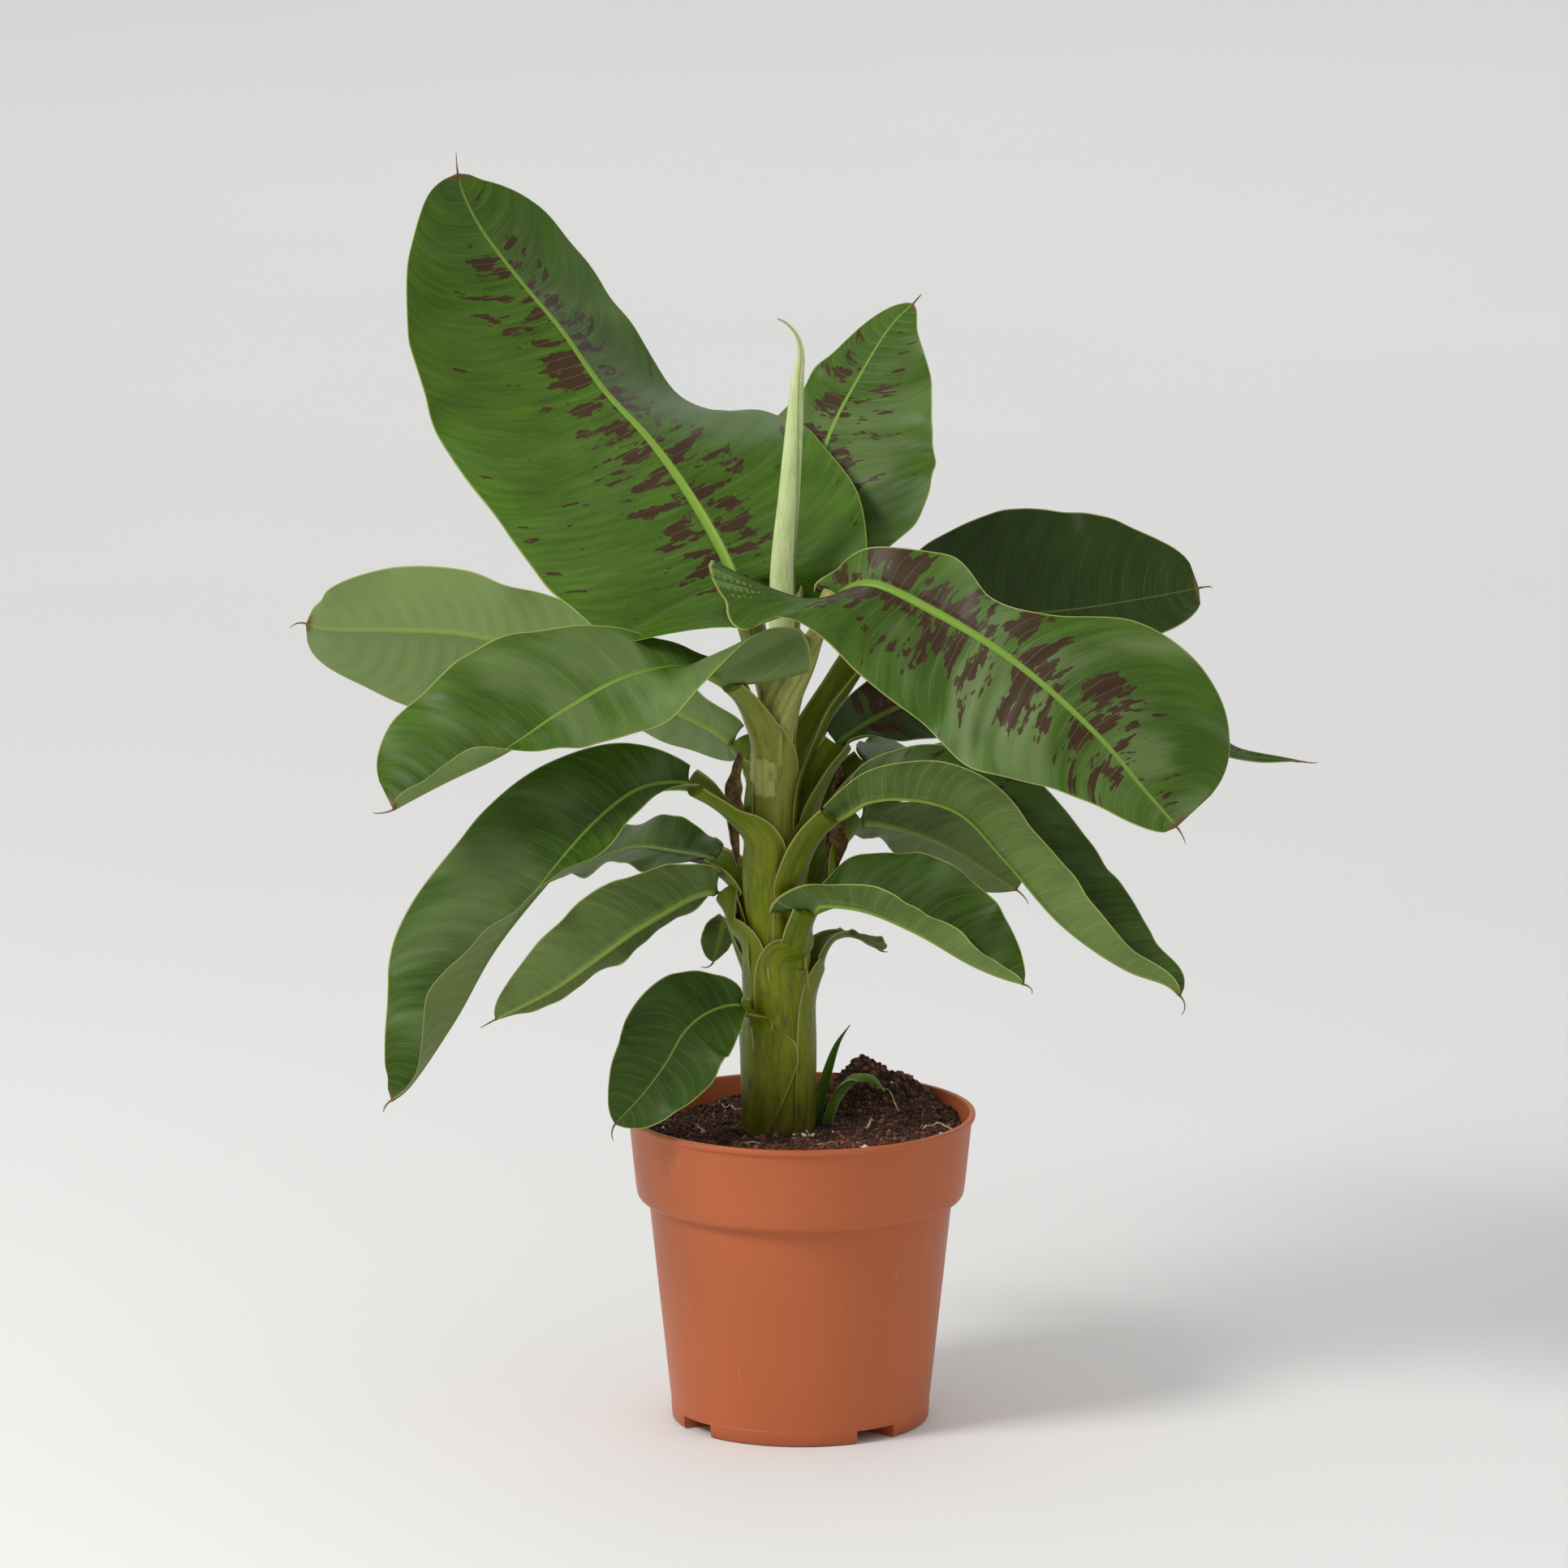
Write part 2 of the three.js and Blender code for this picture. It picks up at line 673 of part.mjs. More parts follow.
addMesh("pot", geometryOf(pot()), "pot");
addMesh("soil", geometryOf(soilSolid), "soil");
addMesh("stem", geometryOf(stemSolid), "stem");
addMesh("leaf_rolled", shootGeometry(ROLLED_LEAF, 8), "rolled");
for (const [name, points] of Object.entries(SHOOTS)) {
  addMesh(name, shootGeometry(points), "stalk");
}

// Each stalk gives way to the pseudostem and to the stalks before it, and each blade to every stalk.
const leaves = LEAVES.map((entry) => {
  const leaf = { ...PLAIN, ...entry };
  const spine = spineOf(leaf);
  return {
    leaf,
    stalk: solidOf(stalkGeometry(leaf, spine, 0)),
    room: solidOf(stalkGeometry(leaf, spine, GAP)),
    blade: solidOf(bladeGeometry(leaf, spine)),
  };
});

function clear(solid, rooms) {
  let left = solid.subtract(stemRoom);
  for (const room of rooms) left = left.subtract(room);
  return largest(left);
}

const rooms = leaves.map(({ room }) => room);
for (const [i, { leaf, stalk, blade }] of leaves.entries()) {
  addMesh(`${leaf.name}_stalk`, geometryOf(clear(stalk, rooms.slice(0, i))), "stalk");
  addMesh(leaf.name, geometryOf(clear(blade, rooms)), "blade");
}
for (const [name, points] of Object.entries(DRY_SHEATHS)) {
  addMesh(name, geometryOf(clear(solidOf(shootGeometry(points)), rooms)), "dry");
}

export default plant;
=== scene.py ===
"""Visual model of a young dwarf banana plant in a plastic grow pot.

Sizes are in millimetres until a mesh is made. -Y is the front of the plant.
"""

import math

import bpy
import numpy as np
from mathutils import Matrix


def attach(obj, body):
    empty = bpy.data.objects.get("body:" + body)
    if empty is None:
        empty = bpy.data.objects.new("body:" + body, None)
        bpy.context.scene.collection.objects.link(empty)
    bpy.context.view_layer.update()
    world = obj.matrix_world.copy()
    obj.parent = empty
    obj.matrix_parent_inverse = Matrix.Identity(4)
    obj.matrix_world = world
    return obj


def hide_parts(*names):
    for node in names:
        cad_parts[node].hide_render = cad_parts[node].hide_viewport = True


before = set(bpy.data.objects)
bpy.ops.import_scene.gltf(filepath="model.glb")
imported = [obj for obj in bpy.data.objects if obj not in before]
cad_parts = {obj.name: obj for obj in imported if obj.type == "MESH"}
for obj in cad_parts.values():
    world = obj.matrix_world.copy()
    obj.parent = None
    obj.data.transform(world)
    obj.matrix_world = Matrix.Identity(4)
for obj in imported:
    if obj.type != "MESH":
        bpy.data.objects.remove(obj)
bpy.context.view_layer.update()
MM = 0.001

# Pot
POT_HEIGHT = 190
RIM_RADIUS = 106
FOOT_RADIUS = 78
BODY_TOP_RADIUS = 92
BAND_RADIUS = 99.5
BAND_FOOT = 137
WALL = 2.2
CHANNEL_HEIGHT = 8
CHANNEL_DEG = 20
CHANNEL_INNER = 42
FIRST_CHANNEL_DEG = -54

# Compost
SOIL_LEVEL = 178
SOIL_EDGE = 100.2
SOIL_FLOOR = 150.0

# Leaves
BLADE_THICKNESS = 0.7
RIB_DEPTH = 5.0
STALK_RADIUS = 1.9
STALK_REACH = 1.3
STALK_WRAP = 108  # degrees that a stalk's halves reach round where it meets its blade
SHEATH_STEP = 0.35  # each sheath stands this far over the next one in
SHEATH_SINK = 0.018  # slope of a sheath into the stem, down from its stalk
SHEATH_FOOT = 174
ROLLED_TURN = 470  # degrees that the young leaf winds round

# Pseudostem: centre x, y, z, and half widths from side to side and from front to back.
STEM = [
    [-13, 0, 150, 22, 21],
    [-13, 0, 182, 20.5, 20],
    [-13, 0, 225, 20.5, 20],
    [-14, 0, 275, 20, 19],
    [-16, 0, 325, 19, 18],
    [-17, 0, 375, 18.5, 17.5],
    [-15, 0, 425, 14, 13.5],
    [-12, 0, 450, 11, 11],
    [-11, 0, 482, 9, 9],
]

# Every open leaf. Stalk and rib are points of its line, and the pairs are for the left and right halves, seen
# from the root. Spread scales the half width, and spread, fold, curl and roll are read along the blade.
PLAIN = {
    "widest": 0.42,
    "ends": [0.5, 0.6],
    "roll": [0],
    "spread": [[1], [1]],
    "fold": [[10], [10]],
    "curl": [[0], [0]],
    "wave": [3, 3, 0],
    "lobe": [0, 0],
    "open": [0, 0],
    "stem": [9, 6, 5, 5],
    "thread": 14,
    "neck": [0.1, 0.1],
    "ear": [[[0, 0, 0, 0]], [[0, 0, 0, 0]]],
    "wrap": [[-100, 85, 85], [0, 80, 80], [25, 90, 90]],
    "midrib": 0.7,
    "pale": 0,
    # Painted sheen: how strongly a pale grey reflection of the light is painted over the upper face.
    "painted_sheen": 0.25,
}

# painted_light is painted light and shade: how lit each half of a leaf is painted, from shaded at 0 to lit at 1.
LEAVES = [
    dict(
        name="leaf_tall_left", painted_light=[0.8, 0.4], blotch=[0.65, 0.85], painted_sheen=0.1, azimuth=165, leave=436,
        wrap=[[-100, 150, 150], [-40, 135, 135], [0, 110, 110], [25, 100, 100]], pale=0.5, midrib=1,
        stalk=[[-18, 4, 440], [-27, 8, 466], [-31, 12, 482]],
        rib=[[-36, 16, 500], [-45, 25, 524], [-67, 48, 560], [-92, 72, 591], [-119, 95, 617], [-146, 118, 651],
             [-171, 135, 678], [-196, 148, 709], [-207, 152, 731], [-209, 153, 741]], half=[112, 100], widest=0.5,
        ends=[0.35, 0.5],
        spread=[[1.05, 1.02, 0.97, 0.92, 0.93, 0.95, 0.85], [1.08, 1.05, 0.98, 1.03, 1.03, 0.86, 0.9, 0.84, 0.5]],
        fold=[[-30, -40, -40, -25, 0], [50, 25, -12, -5, 20]], curl=[[0], [20, 0, 0, 0]], lobe=[25, 30],
        open=[0.4, 0.4], neck=[0.05, 0.05],
    ),
    dict(
        name="leaf_tall_right", painted_light=[0.6, 0.6], blotch=[0, 1], painted_sheen=0.4, azimuth=60, leave=440, pale=0.6,
        midrib=0.5, stalk=[[-9, 8, 455], [-8, 14, 475], [-7, 22, 492]],
        rib=[[-3, 40, 514], [6, 68, 547], [17, 98, 587], [37, 125, 622], [56, 145, 649], [69, 152, 661]],
        half=[62, 76], widest=0.45, spread=[[1, 1, 0.9, 0.6, 0.6], [1.1, 1.05, 0.9, 0.75, 0.5]],
        fold=[[0, -10, 0], [-10, -10, -10]],
    ),
    dict(
        name="leaf_broad_right", painted_light=[0.62, 0.55], blotch=[0.5, 0.85], painted_sheen=0.65, azimuth=290, leave=428,
        wrap=[[-60, 120, 120], [-20, 100, 105], [0, 85, 90], [20, 80, 80]], pale=0.9, midrib=1,
        stalk=[[-1, -5, 456], [5, -14, 476], [14, -24, 497]],
        rib=[[22, -34, 512], [40, -50, 523], [79, -70, 510], [126, -95, 485], [174, -120, 446], [205, -136, 412],
             [221, -143, 395]], half=[66, 66], widest=0.55, ends=[0.5, 0.32], roll=[-40, -50, -50, -40],
        spread=[[0.6, 0.52, 0.62, 0.38, 0.55, 0.97, 1.18, 1.3, 1.45], [0.9, 0.85, 0.95, 1, 0.62, 0.4]],
        fold=[[10, 10, 25, 10, 0], [30, 0, 0, 0]], curl=[[0], [-60, -10, 0, 0]], lobe=[15, 0], open=[0.2, 0.6],
        ear=[[[0, 0, 0, 0]], [[0, -50, -5, 35], [0.03, -66, -8, 27], [0.06, -63, -10, 11], [0.085, -52, -12, 11],
             [0.11, -43, -12, 22], [0.15, -31, -8, 22], [0.2, -22, -4, 16], [0.26, -15, 0, 6], [0.32, -8, 0, 2],
             [0.4, 0, 0, 0]]], neck=[0.05, 0.03],
    ),
    dict(
        name="leaf_back_right_high", painted_light=[0.05, 0.12], blotch=[0, 0], painted_sheen=0, azimuth=40, leave=388, midrib=0.3,
        stalk=[[-6, 14, 395], [22, 46, 440], [48, 62, 472]],
        rib=[[62, 69, 468], [105, 92, 476], [165, 112, 478], [215, 122, 484], [244, 126, 489]], half=[66, 34],
        widest=0.5, ends=[0.5, 0.3], roll=[-50, -60, -55], spread=[[1, 1, 1, 0.9, 0.7], [0.9, 0.9, 0.8, 0.85, 0.9]],
        fold=[[5], [0]],
    ),
    dict(
        name="leaf_back_left_high", painted_light=[0.6, 0.8], blotch=[0.1, 0.1], azimuth=150, leave=382, midrib=0.6,
        stalk=[[-20, 15, 385], [-34, 33, 402]],
        rib=[[-40, 40, 411], [-67, 70, 421], [-142, 105, 447], [-202, 125, 460], [-252, 140, 460], [-293, 150, 459],
             [-304, 152, 462]], half=[54, 62], widest=0.6, ends=[0.5, 0.4], roll=[-50, -60, -60],
        spread=[[0.6, 0.75, 0.85, 0.95], [1.25, 1, 0.9, 1.3, 1.3]],
    ),
    dict(
        name="leaf_broad_left", painted_light=[0.5, 0.8], blotch=[0, 0], painted_sheen=0.55, azimuth=205, leave=412,
        wrap=[[-110, 150, 150], [-40, 140, 145], [0, 130, 130], [20, 110, 110]], pale=0.25, midrib=0.5,
        stalk=[[-26, -8, 425], [-31, -14, 440], [-37, -22, 452]],
        rib=[[-44, -28, 460], [-66, -38, 470], [-102, -50, 468], [-139, -70, 452], [-176, -90, 430],
             [-215, -105, 412], [-241, -112, 399]], half=[46, 62], widest=0.6, ends=[0.45, 0.35],
        roll=[20, 45, 50, 50], spread=[[1, 1, 0.7, 0.45, 0.4], [0.35, 0.6, 0.95, 1, 1.1]],
        fold=[[90, 30, 0, 40, 100, 110], [20, 10, 10, 0, -10]], lobe=[45, 0], open=[0.5, 0],
        ear=[[[0, 3, -4, 27], [0.05, 3, -4, 16], [0.12, 0, 0, 6], [0.2, 0, 0, 0]], [[0, 0, 0, 0]]],
        neck=[0.04, 0.1],
    ),
    dict(
        name="leaf_long_left", painted_light=[0.5, 0.4], blotch=[0, 0], painted_sheen=0.4, azimuth=205, leave=342,
        wrap=[[-85, 110, 120], [-20, 112, 120], [0, 105, 110], [24, 92, 90], [45, 78, 78]], midrib=0.5,
        stalk=[[-18, -8, 347], [-42, -20, 379], [-58, -30, 394]],
        rib=[[-66, -35, 399], [-95, -50, 399], [-122, -65, 382], [-154, -85, 348], [-182, -100, 312],
             [-206, -112, 270], [-235, -120, 230], [-243, -122, 225]], half=[42, 58], widest=0.6, ends=[0.6, 0.45],
        roll=[30, 40, 50], spread=[[0.6, 0.65, 1, 1.25, 1.3], [1, 1.05, 1, 0.95, 0.6]],
        fold=[[15, 20, 70, 95, 75], [30, 20, 5, 5]],
    ),
    dict(
        name="leaf_back_left_mid", painted_light=[0.1, 0.1], blotch=[0, 0], azimuth=140, leave=300,
        stalk=[[-24, 14, 300], [-38, 30, 328]],
        rib=[[-52, 41, 336], [-77, 58, 338], [-102, 75, 337], [-132, 92, 323], [-167, 105, 308]], half=[30, 30],
        roll=[20],
    ),
    dict(
        name="leaf_low_left", painted_light=[0.35, 0.35], blotch=[0.2, 0.2], azimuth=168, leave=294,
        wrap=[[-112, 95, 110], [-40, 95, 110], [0, 86, 100], [20, 82, 84]], midrib=0.5,
        stalk=[[-26, 0, 274], [-40, 8, 308]],
        rib=[[-50, 18, 323], [-92, 50, 297], [-122, 65, 272], [-152, 80, 247], [-187, 92, 226]], half=[35, 12],
        roll=[-55],
    ),
    dict(
        name="leaf_foot_left", painted_light=[0.3, 0.45], blotch=[0, 0], painted_sheen=0.05, azimuth=225, leave=246,
        wrap=[[-72, 22, 80], [-48, 48, 80], [-22, 76, 70], [-8, 74, 60], [4, 52, 52]], midrib=0.3,
        stalk=[[-23, -15, 233], [-27, -24, 254]],
        rib=[[-36, -30, 262], [-54, -42, 261], [-69, -54, 252], [-81, -65, 234], [-95, -75, 217], [-111, -82, 201]],
        half=[31, 34], roll=[50], stem=[6, 4, 3, 3],
    ),
    dict(
        name="leaf_low_right", painted_light=[0.35, 0.3], blotch=[0, 0.2], azimuth=285, leave=286,
        wrap=[[-124, 62, 16], [-90, 60, 42], [-60, 50, 55], [-20, 42, 56], [0, 46, 50], [14, 70, 62]], midrib=0.5,
        stalk=[[-6, -14, 262], [-2, -20, 296], [3, -25, 316]],
        rib=[[7, -28, 322], [36, -42, 324], [70, -58, 313], [103, -72, 296], [123, -80, 289], [133, -84, 287]],
        half=[48, 16], fold=[[45, 50, 50], [80]], lobe=[0, 24], open=[0, 0.5], neck=[0.1, 0.06],
    ),
    dict(
        name="leaf_long_right", painted_light=[0.25, 0.3], blotch=[0.15, 0.15], azimuth=335, leave=330,
        wrap=[[-110, 130, 80], [-40, 120, 74], [0, 100, 66], [20, 84, 78]], midrib=0.5,
        stalk=[[-6, -12, 326], [2, -15, 353], [14, -24, 373]],
        rib=[[21, -28, 379], [55, -45, 392], [94, -62, 387], [122, -78, 361], [156, -95, 325], [194, -108, 301],
             [218, -114, 293], [225, -116, 287]], half=[57, 28], spread=[[0.6, 0.8, 1, 1], [1, 1, 1, 1]],
        fold=[[80, 50, 35, 30], [80, 90, 90, 60]],
    ),
    dict(
        name="leaf_back_right_mid", painted_light=[0.3, 0.3], blotch=[0.2, 0.2], azimuth=45, leave=306,
        stalk=[[4, 15, 307], [17, 35, 338], [30, 50, 354]],
        rib=[[36, 55, 359], [61, 80, 350], [89, 98, 335], [114, 108, 317], [133, 112, 303]], half=[44, 44],
        widest=0.55, roll=[30],
    ),
    dict(
        name="leaf_back_right_small", painted_light=[0.6, 0.6], blotch=[0, 0], azimuth=30, leave=340,
        stalk=[[-1, 15, 342], [17, 30, 376], [34, 45, 391]],
        rib=[[41, 50, 395], [66, 75, 398], [86, 95, 381], [96, 105, 359]], half=[30, 30],
    ),
    dict(
        name="leaf_far_right", painted_light=[0.1, 0.1], blotch=[0.6, 0.6], azimuth=10, leave=352,
        stalk=[[-2, 4, 348], [9, 8, 385], [17, 14, 407]],
        rib=[[23, 19, 413], [51, 34, 428], [106, 50, 444], [170, 70, 442], [226, 95, 421], [266, 108, 390],
             [306, 115, 383]], half=[38, 46], roll=[-30, -40, -40],
        spread=[[1, 1, 0.9, 0.4, 0.22], [1, 1, 0.8, 0.35, 0.22]],
    ),
    dict(
        name="leaf_back_right_low", painted_light=[0.2, 0.2], blotch=[0, 0], azimuth=20, leave=258,
        stalk=[[7, 15, 261], [14, 30, 286]], rib=[[27, 45, 290], [42, 62, 281], [49, 70, 274]], half=[14, 14],
        wave=[1, 2, 0], stem=[5, 4, 2, 2], thread=6,
    ),
    dict(
        name="leaf_back_left_low", painted_light=[0.2, 0.2], blotch=[0, 0], azimuth=150, leave=252,
        stalk=[[-24, 14, 255], [-37, 35, 287]], rib=[[-45, 50, 299], [-50, 62, 281], [-53, 66, 268]], half=[12, 12],
        wave=[1, 2, 0], stem=[5, 4, 2, 2], thread=12,
    ),
]

# Shoots and dead sheaths: points of a line, half widths along it, fold or turn in degrees, and a seed.
SHOOTS = [
    [
        "shoot_tall", [[10, 11, 176], [11, 12, 186], [16, 15, 211], [22, 20, 228], [30, 24, 238]],
        [4, 4.6, 4.6, 3, 0.4], 50, 1,
    ],
    [
        "shoot_low", [[14, 3, 177], [17, 2, 186], [22, 2, 202], [33, 0, 213], [43, -3, 211], [51, -5, 203]],
        [4, 4.4, 5, 5.4, 3.8, 0.4], 45, 2,
    ],
]
DRY_SHEATHS = [
    ["dry_sheath_left", [[-38, 13, 338], [-41, 16, 360], [-41, 18, 385], [-36, 20, 408]], [1.5, 6, 7, 2], 30, 5],
    ["dry_sheath_right", [[18, 24, 328], [19, 27, 360], [21, 30, 386], [24, 31, 405]], [3, 8, 6, 2], -30, 6],
]

# The young leaf's line, and its radius at heights.
ROLLED = [
    [-12, 0, 440], [-11, 0, 479], [-11, 0, 524], [-7, 0, 570], [-4, 0, 610], [-2, 0, 637], [0, 0, 655],
    [-3, 0, 666], [-11, 0, 674], [-14, 0, 675],
]
ROLLED_RADIUS = [
    [440, 9], [479, 8.6], [524, 7.6], [570, 6.7], [610, 5.5], [637, 4.0], [655, 2.0], [668, 1.0],
]

# Root fibres: x, y, height of the arch, heading in degrees, length, radius, turn in radians.
ROOTS = [
    [40, -20, 2, 60, 22, 0.8, 0.8],
    [74, -22, 3, 20, 30, 0.7, -1.4],
    [60, 20, 2, 100, 26, 0.6, 1.0],
    [-40, -50, 1, -20, 24, 0.6, 0.9],
    [10, -60, 1, 30, 28, 0.5, -0.8],
    [-60, -10, 1, 80, 22, 0.6, 0.7],
    [-20, 60, 1, 170, 34, 0.7, -0.7],
    [20, 75, 1, 200, 24, 0.5, 0.9],
]

# Lights: place and target in metres, size, power and colour.
LIGHTS = [
    ["key", (-2.3, -1.5, 2.6), (0, 0, 0.3), 1.2, 78, (1, 0.985, 0.96)],
    ["wash", (0.2, 5.6, 4.4), (0.2, 6.2, 0), 5.5, 62, (1, 1, 1)],
    ["fill", (2.6, -2.0, 1.4), (0, 0, 0.3), 2.0, 2, (0.96, 0.98, 1)],
]
SKY = 0.6

# Camera: place in metres, tilt in degrees, and lens for a sensor 36 mm wide.
CAMERA_PLACE = (-0.010, -6.0, 1.6)
CAMERA_TILT = 78.616
LENS = 233.4


# ---------------------------------------------------------------- lines and numbers


def track(values, s):
    """Values at equal steps from 0 to 1, read at s: a cubic through each pair of neighbours, whose slopes are half
    the difference of the values on either side."""
    v = np.asarray(values, float)
    s = np.asarray(s, float)
    if len(v) == 1:
        return np.full(s.shape, v[0])
    x = np.clip(s, 0, 1) * (len(v) - 1)
    i = np.minimum(x.astype(int), len(v) - 2)
    t = x - i
    p = np.concatenate([v[:1], v, v[-1:]])
    a, b, c, d = p[i], p[i + 1], p[i + 2], p[i + 3]
    m, n = (c - a) / 2, (d - b) / 2
    return b + m * t + (3 * (c - b) - 2 * m - n) * t**2 + (2 * (b - c) + m + n) * t**3


def smoothstep(low, high, x):
    """0 below low, 1 above high, and three t squared less two t cubed between them."""
    t = np.clip((np.asarray(x, float) - low) / (high - low), 0, 1)
    return t * t * (3 - 2 * t)


def unit(v):
    """Vectors scaled to length 1."""
    return v / np.maximum(np.linalg.norm(v, axis=-1, keepdims=True), 1e-9)


def line_through(points, soften=5.0, step=1.0):
    """Points at equal steps of length along a smooth line: a centripetal cubic through the points given, then a
    moving average over the softening length, which keeps both ends."""
    p = np.asarray(points, float)
    p = np.concatenate([2 * p[:1] - p[1:2], p, 2 * p[-1:] - p[-2:-1]])
    gap = np.sqrt(np.linalg.norm(np.diff(p, axis=0), axis=1))
    runs = []
    t = np.linspace(0, 1, 60)[:, None]
    for i in range(1, len(p) - 2):
        a, b, c, d = p[i - 1], p[i], p[i + 1], p[i + 2]
        u, v, w = gap[i - 1], gap[i], gap[i + 1]
        m = ((b - a) / u - (c - a) / (u + v) + (c - b) / v) * v
        n = ((c - b) / v - (d - b) / (v + w) + (d - c) / w) * v
        run = b + m * t + (3 * (c - b) - 2 * m - n) * t**2 + (2 * (b - c) + m + n) * t**3
        runs.append(run if i == 1 else run[1:])
    return evened(np.concatenate(runs), step, soften)


def evened(points, step, soften=0.0):
    """The same line with points at equal steps of length, softened by a moving average."""
    along = np.concatenate([[0], np.cumsum(np.linalg.norm(np.diff(points, axis=0), axis=1))])
    count = max(int(along[-1] / step) + 1, 8)
    at = np.linspace(0, along[-1], count)
    even = np.stack([np.interp(at, along, points[:, k]) for k in range(3)], 1)
    reach = int(soften / step)
    if reach > 0:
        head = 2 * even[:1] - even[reach:0:-1]
        tail = 2 * even[-1:] - even[-2 : -2 - reach : -1]
        full = np.concatenate([head, even, tail])
        kernel = np.hanning(2 * reach + 3)[1:-1]
        kernel /= kernel.sum()
        even = np.stack([np.convolve(full[:, k], kernel, "valid") for k in range(3)], 1)
    return even


def softened(values, reach):
    """A moving average under a Hann bell of the reach given, with the ends held."""
    return np.convolve(np.pad(values, reach, "edge"), np.hanning(2 * reach + 3)[1:-1] / (reach + 1), "valid")


def read_line(line, share):
    """Points of an evenly stepped line at shares of its length."""
    at = np.asarray(share) * (len(line) - 1)
    return np.stack([np.interp(at, np.arange(len(line)), line[:, k]) for k in range(3)], -1)


def lattice(shape, seed):
    """Random heights from -1 to 1 on a grid."""
    return np.random.default_rng(seed).uniform(-1, 1, shape)


def grain(x, y, size, seed):
    """Smooth noise of a size in millimetres: random heights on a square lattice, blended between its corners with a
    smoothstep."""
    table = lattice((64, 64), seed)
    u, v = np.asarray(x) / size, np.asarray(y) / size
    i, j = np.floor(u).astype(int), np.floor(v).astype(int)
    a, b = u - i, v - j
    a, b = a * a * (3 - 2 * a), b * b * (3 - 2 * b)
    at = lambda m, n: table[(i + m) % 64, (j + n) % 64]
    return (at(0, 0) * (1 - a) + at(1, 0) * a) * (1 - b) + (at(0, 1) * (1 - a) + at(1, 1) * a) * b


# ---------------------------------------------------------------- meshes


class Sheet:
    """Points in millimetres, faces, one material number for each face, and named values for each point."""

    def __init__(self, points, faces, material=0, values=None):
        self.points = np.asarray(points, float).reshape(-1, 3)
        self.faces = np.asarray(faces, int)
        self.material = np.broadcast_to(material, len(self.faces)).astype(int)
        self.values = {k: np.asarray(v, float).reshape(len(self.points), -1) for k, v in (values or {}).items()}


def grid_faces(rows, cols, round_cols=False, round_rows=False):
    """Four-sided faces of a grid of points, row by row, closed round either way if asked."""
    i = np.arange(rows if round_rows else rows - 1)
    j = np.arange(cols if round_cols else cols - 1)
    i, j = (a.ravel() for a in np.meshgrid(i, j, indexing="ij"))
    up, on = (i + 1) % rows, (j + 1) % cols
    return np.stack([i * cols + j, i * cols + on, up * cols + on, up * cols + j], 1)


def joined(sheets):
    """Sheets as one, with their points and faces one after another. A value that a sheet lacks is 0 there."""
    names = {k: v.shape[1] for s in sheets for k, v in s.values.items()}
    start = np.cumsum([0] + [len(s.points) for s in sheets])
    faces = [s.faces + n for s, n in zip(sheets, start)]
    width = max(f.shape[1] for f in faces)
    faces = [f if f.shape[1] == width else np.concatenate([f, f[:, -1:]], 1) for f in faces]
    read = lambda key, n: np.concatenate([s.values.get(key, np.zeros((len(s.points), n))) for s in sheets])
    points, material = (np.concatenate([getattr(s, key) for s in sheets]) for key in ("points", "material"))
    return Sheet(points, np.concatenate(faces), material, {key: read(key, n) for key, n in names.items()})


def shell(outer, inner, turned=False, material=0, **values):
    """A closed thin shell from two grids of points: both grids, and strips that join their margins and their first
    and last rows. The outer grid faces the way its rows cross its columns, or the other way if turned. Both grids
    get the same values."""
    rows, cols = outer.shape[:2]
    n = rows * cols
    first = grid_faces(rows, cols)
    i, j, last = np.arange(rows - 1) * cols, np.arange(cols - 1), n - cols + np.arange(cols - 1)
    strips = [(i, i + cols), (i + 2 * cols - 1, i + cols - 1), (j + 1, j), (last, last + 1)]
    strips = [np.stack([a, b, b + n, a + n], 1) for a, b in strips]
    faces = np.concatenate([first, first[:, ::-1] + n, *strips])
    wide = {k: np.stack([np.broadcast_to(a, (rows, cols)) for a in v], -1).reshape(n, -1) for k, v in values.items()}
    wide = {k: np.concatenate([v, v]) for k, v in wide.items()}
    return Sheet(np.concatenate([outer, inner]), faces[:, ::-1] if turned else faces, material, wide)


def capped_faces(rows, sides):
    """Faces of a tube of rings, whose two end points follow the rings."""
    n = rows * sides
    k = np.arange(sides)
    on = (k + 1) % sides
    first = np.stack([np.full(sides, n), on, k, k], 1)
    last = np.stack([np.full(sides, n + 1), n - sides + k, n - sides + on, n - sides + on], 1)
    return np.concatenate([grid_faces(rows, sides, round_cols=True), first, last])


def placed(name, data):
    """An object with the data given, in the scene."""
    thing = bpy.data.objects.new(name, data)
    bpy.context.scene.collection.objects.link(thing)
    return thing


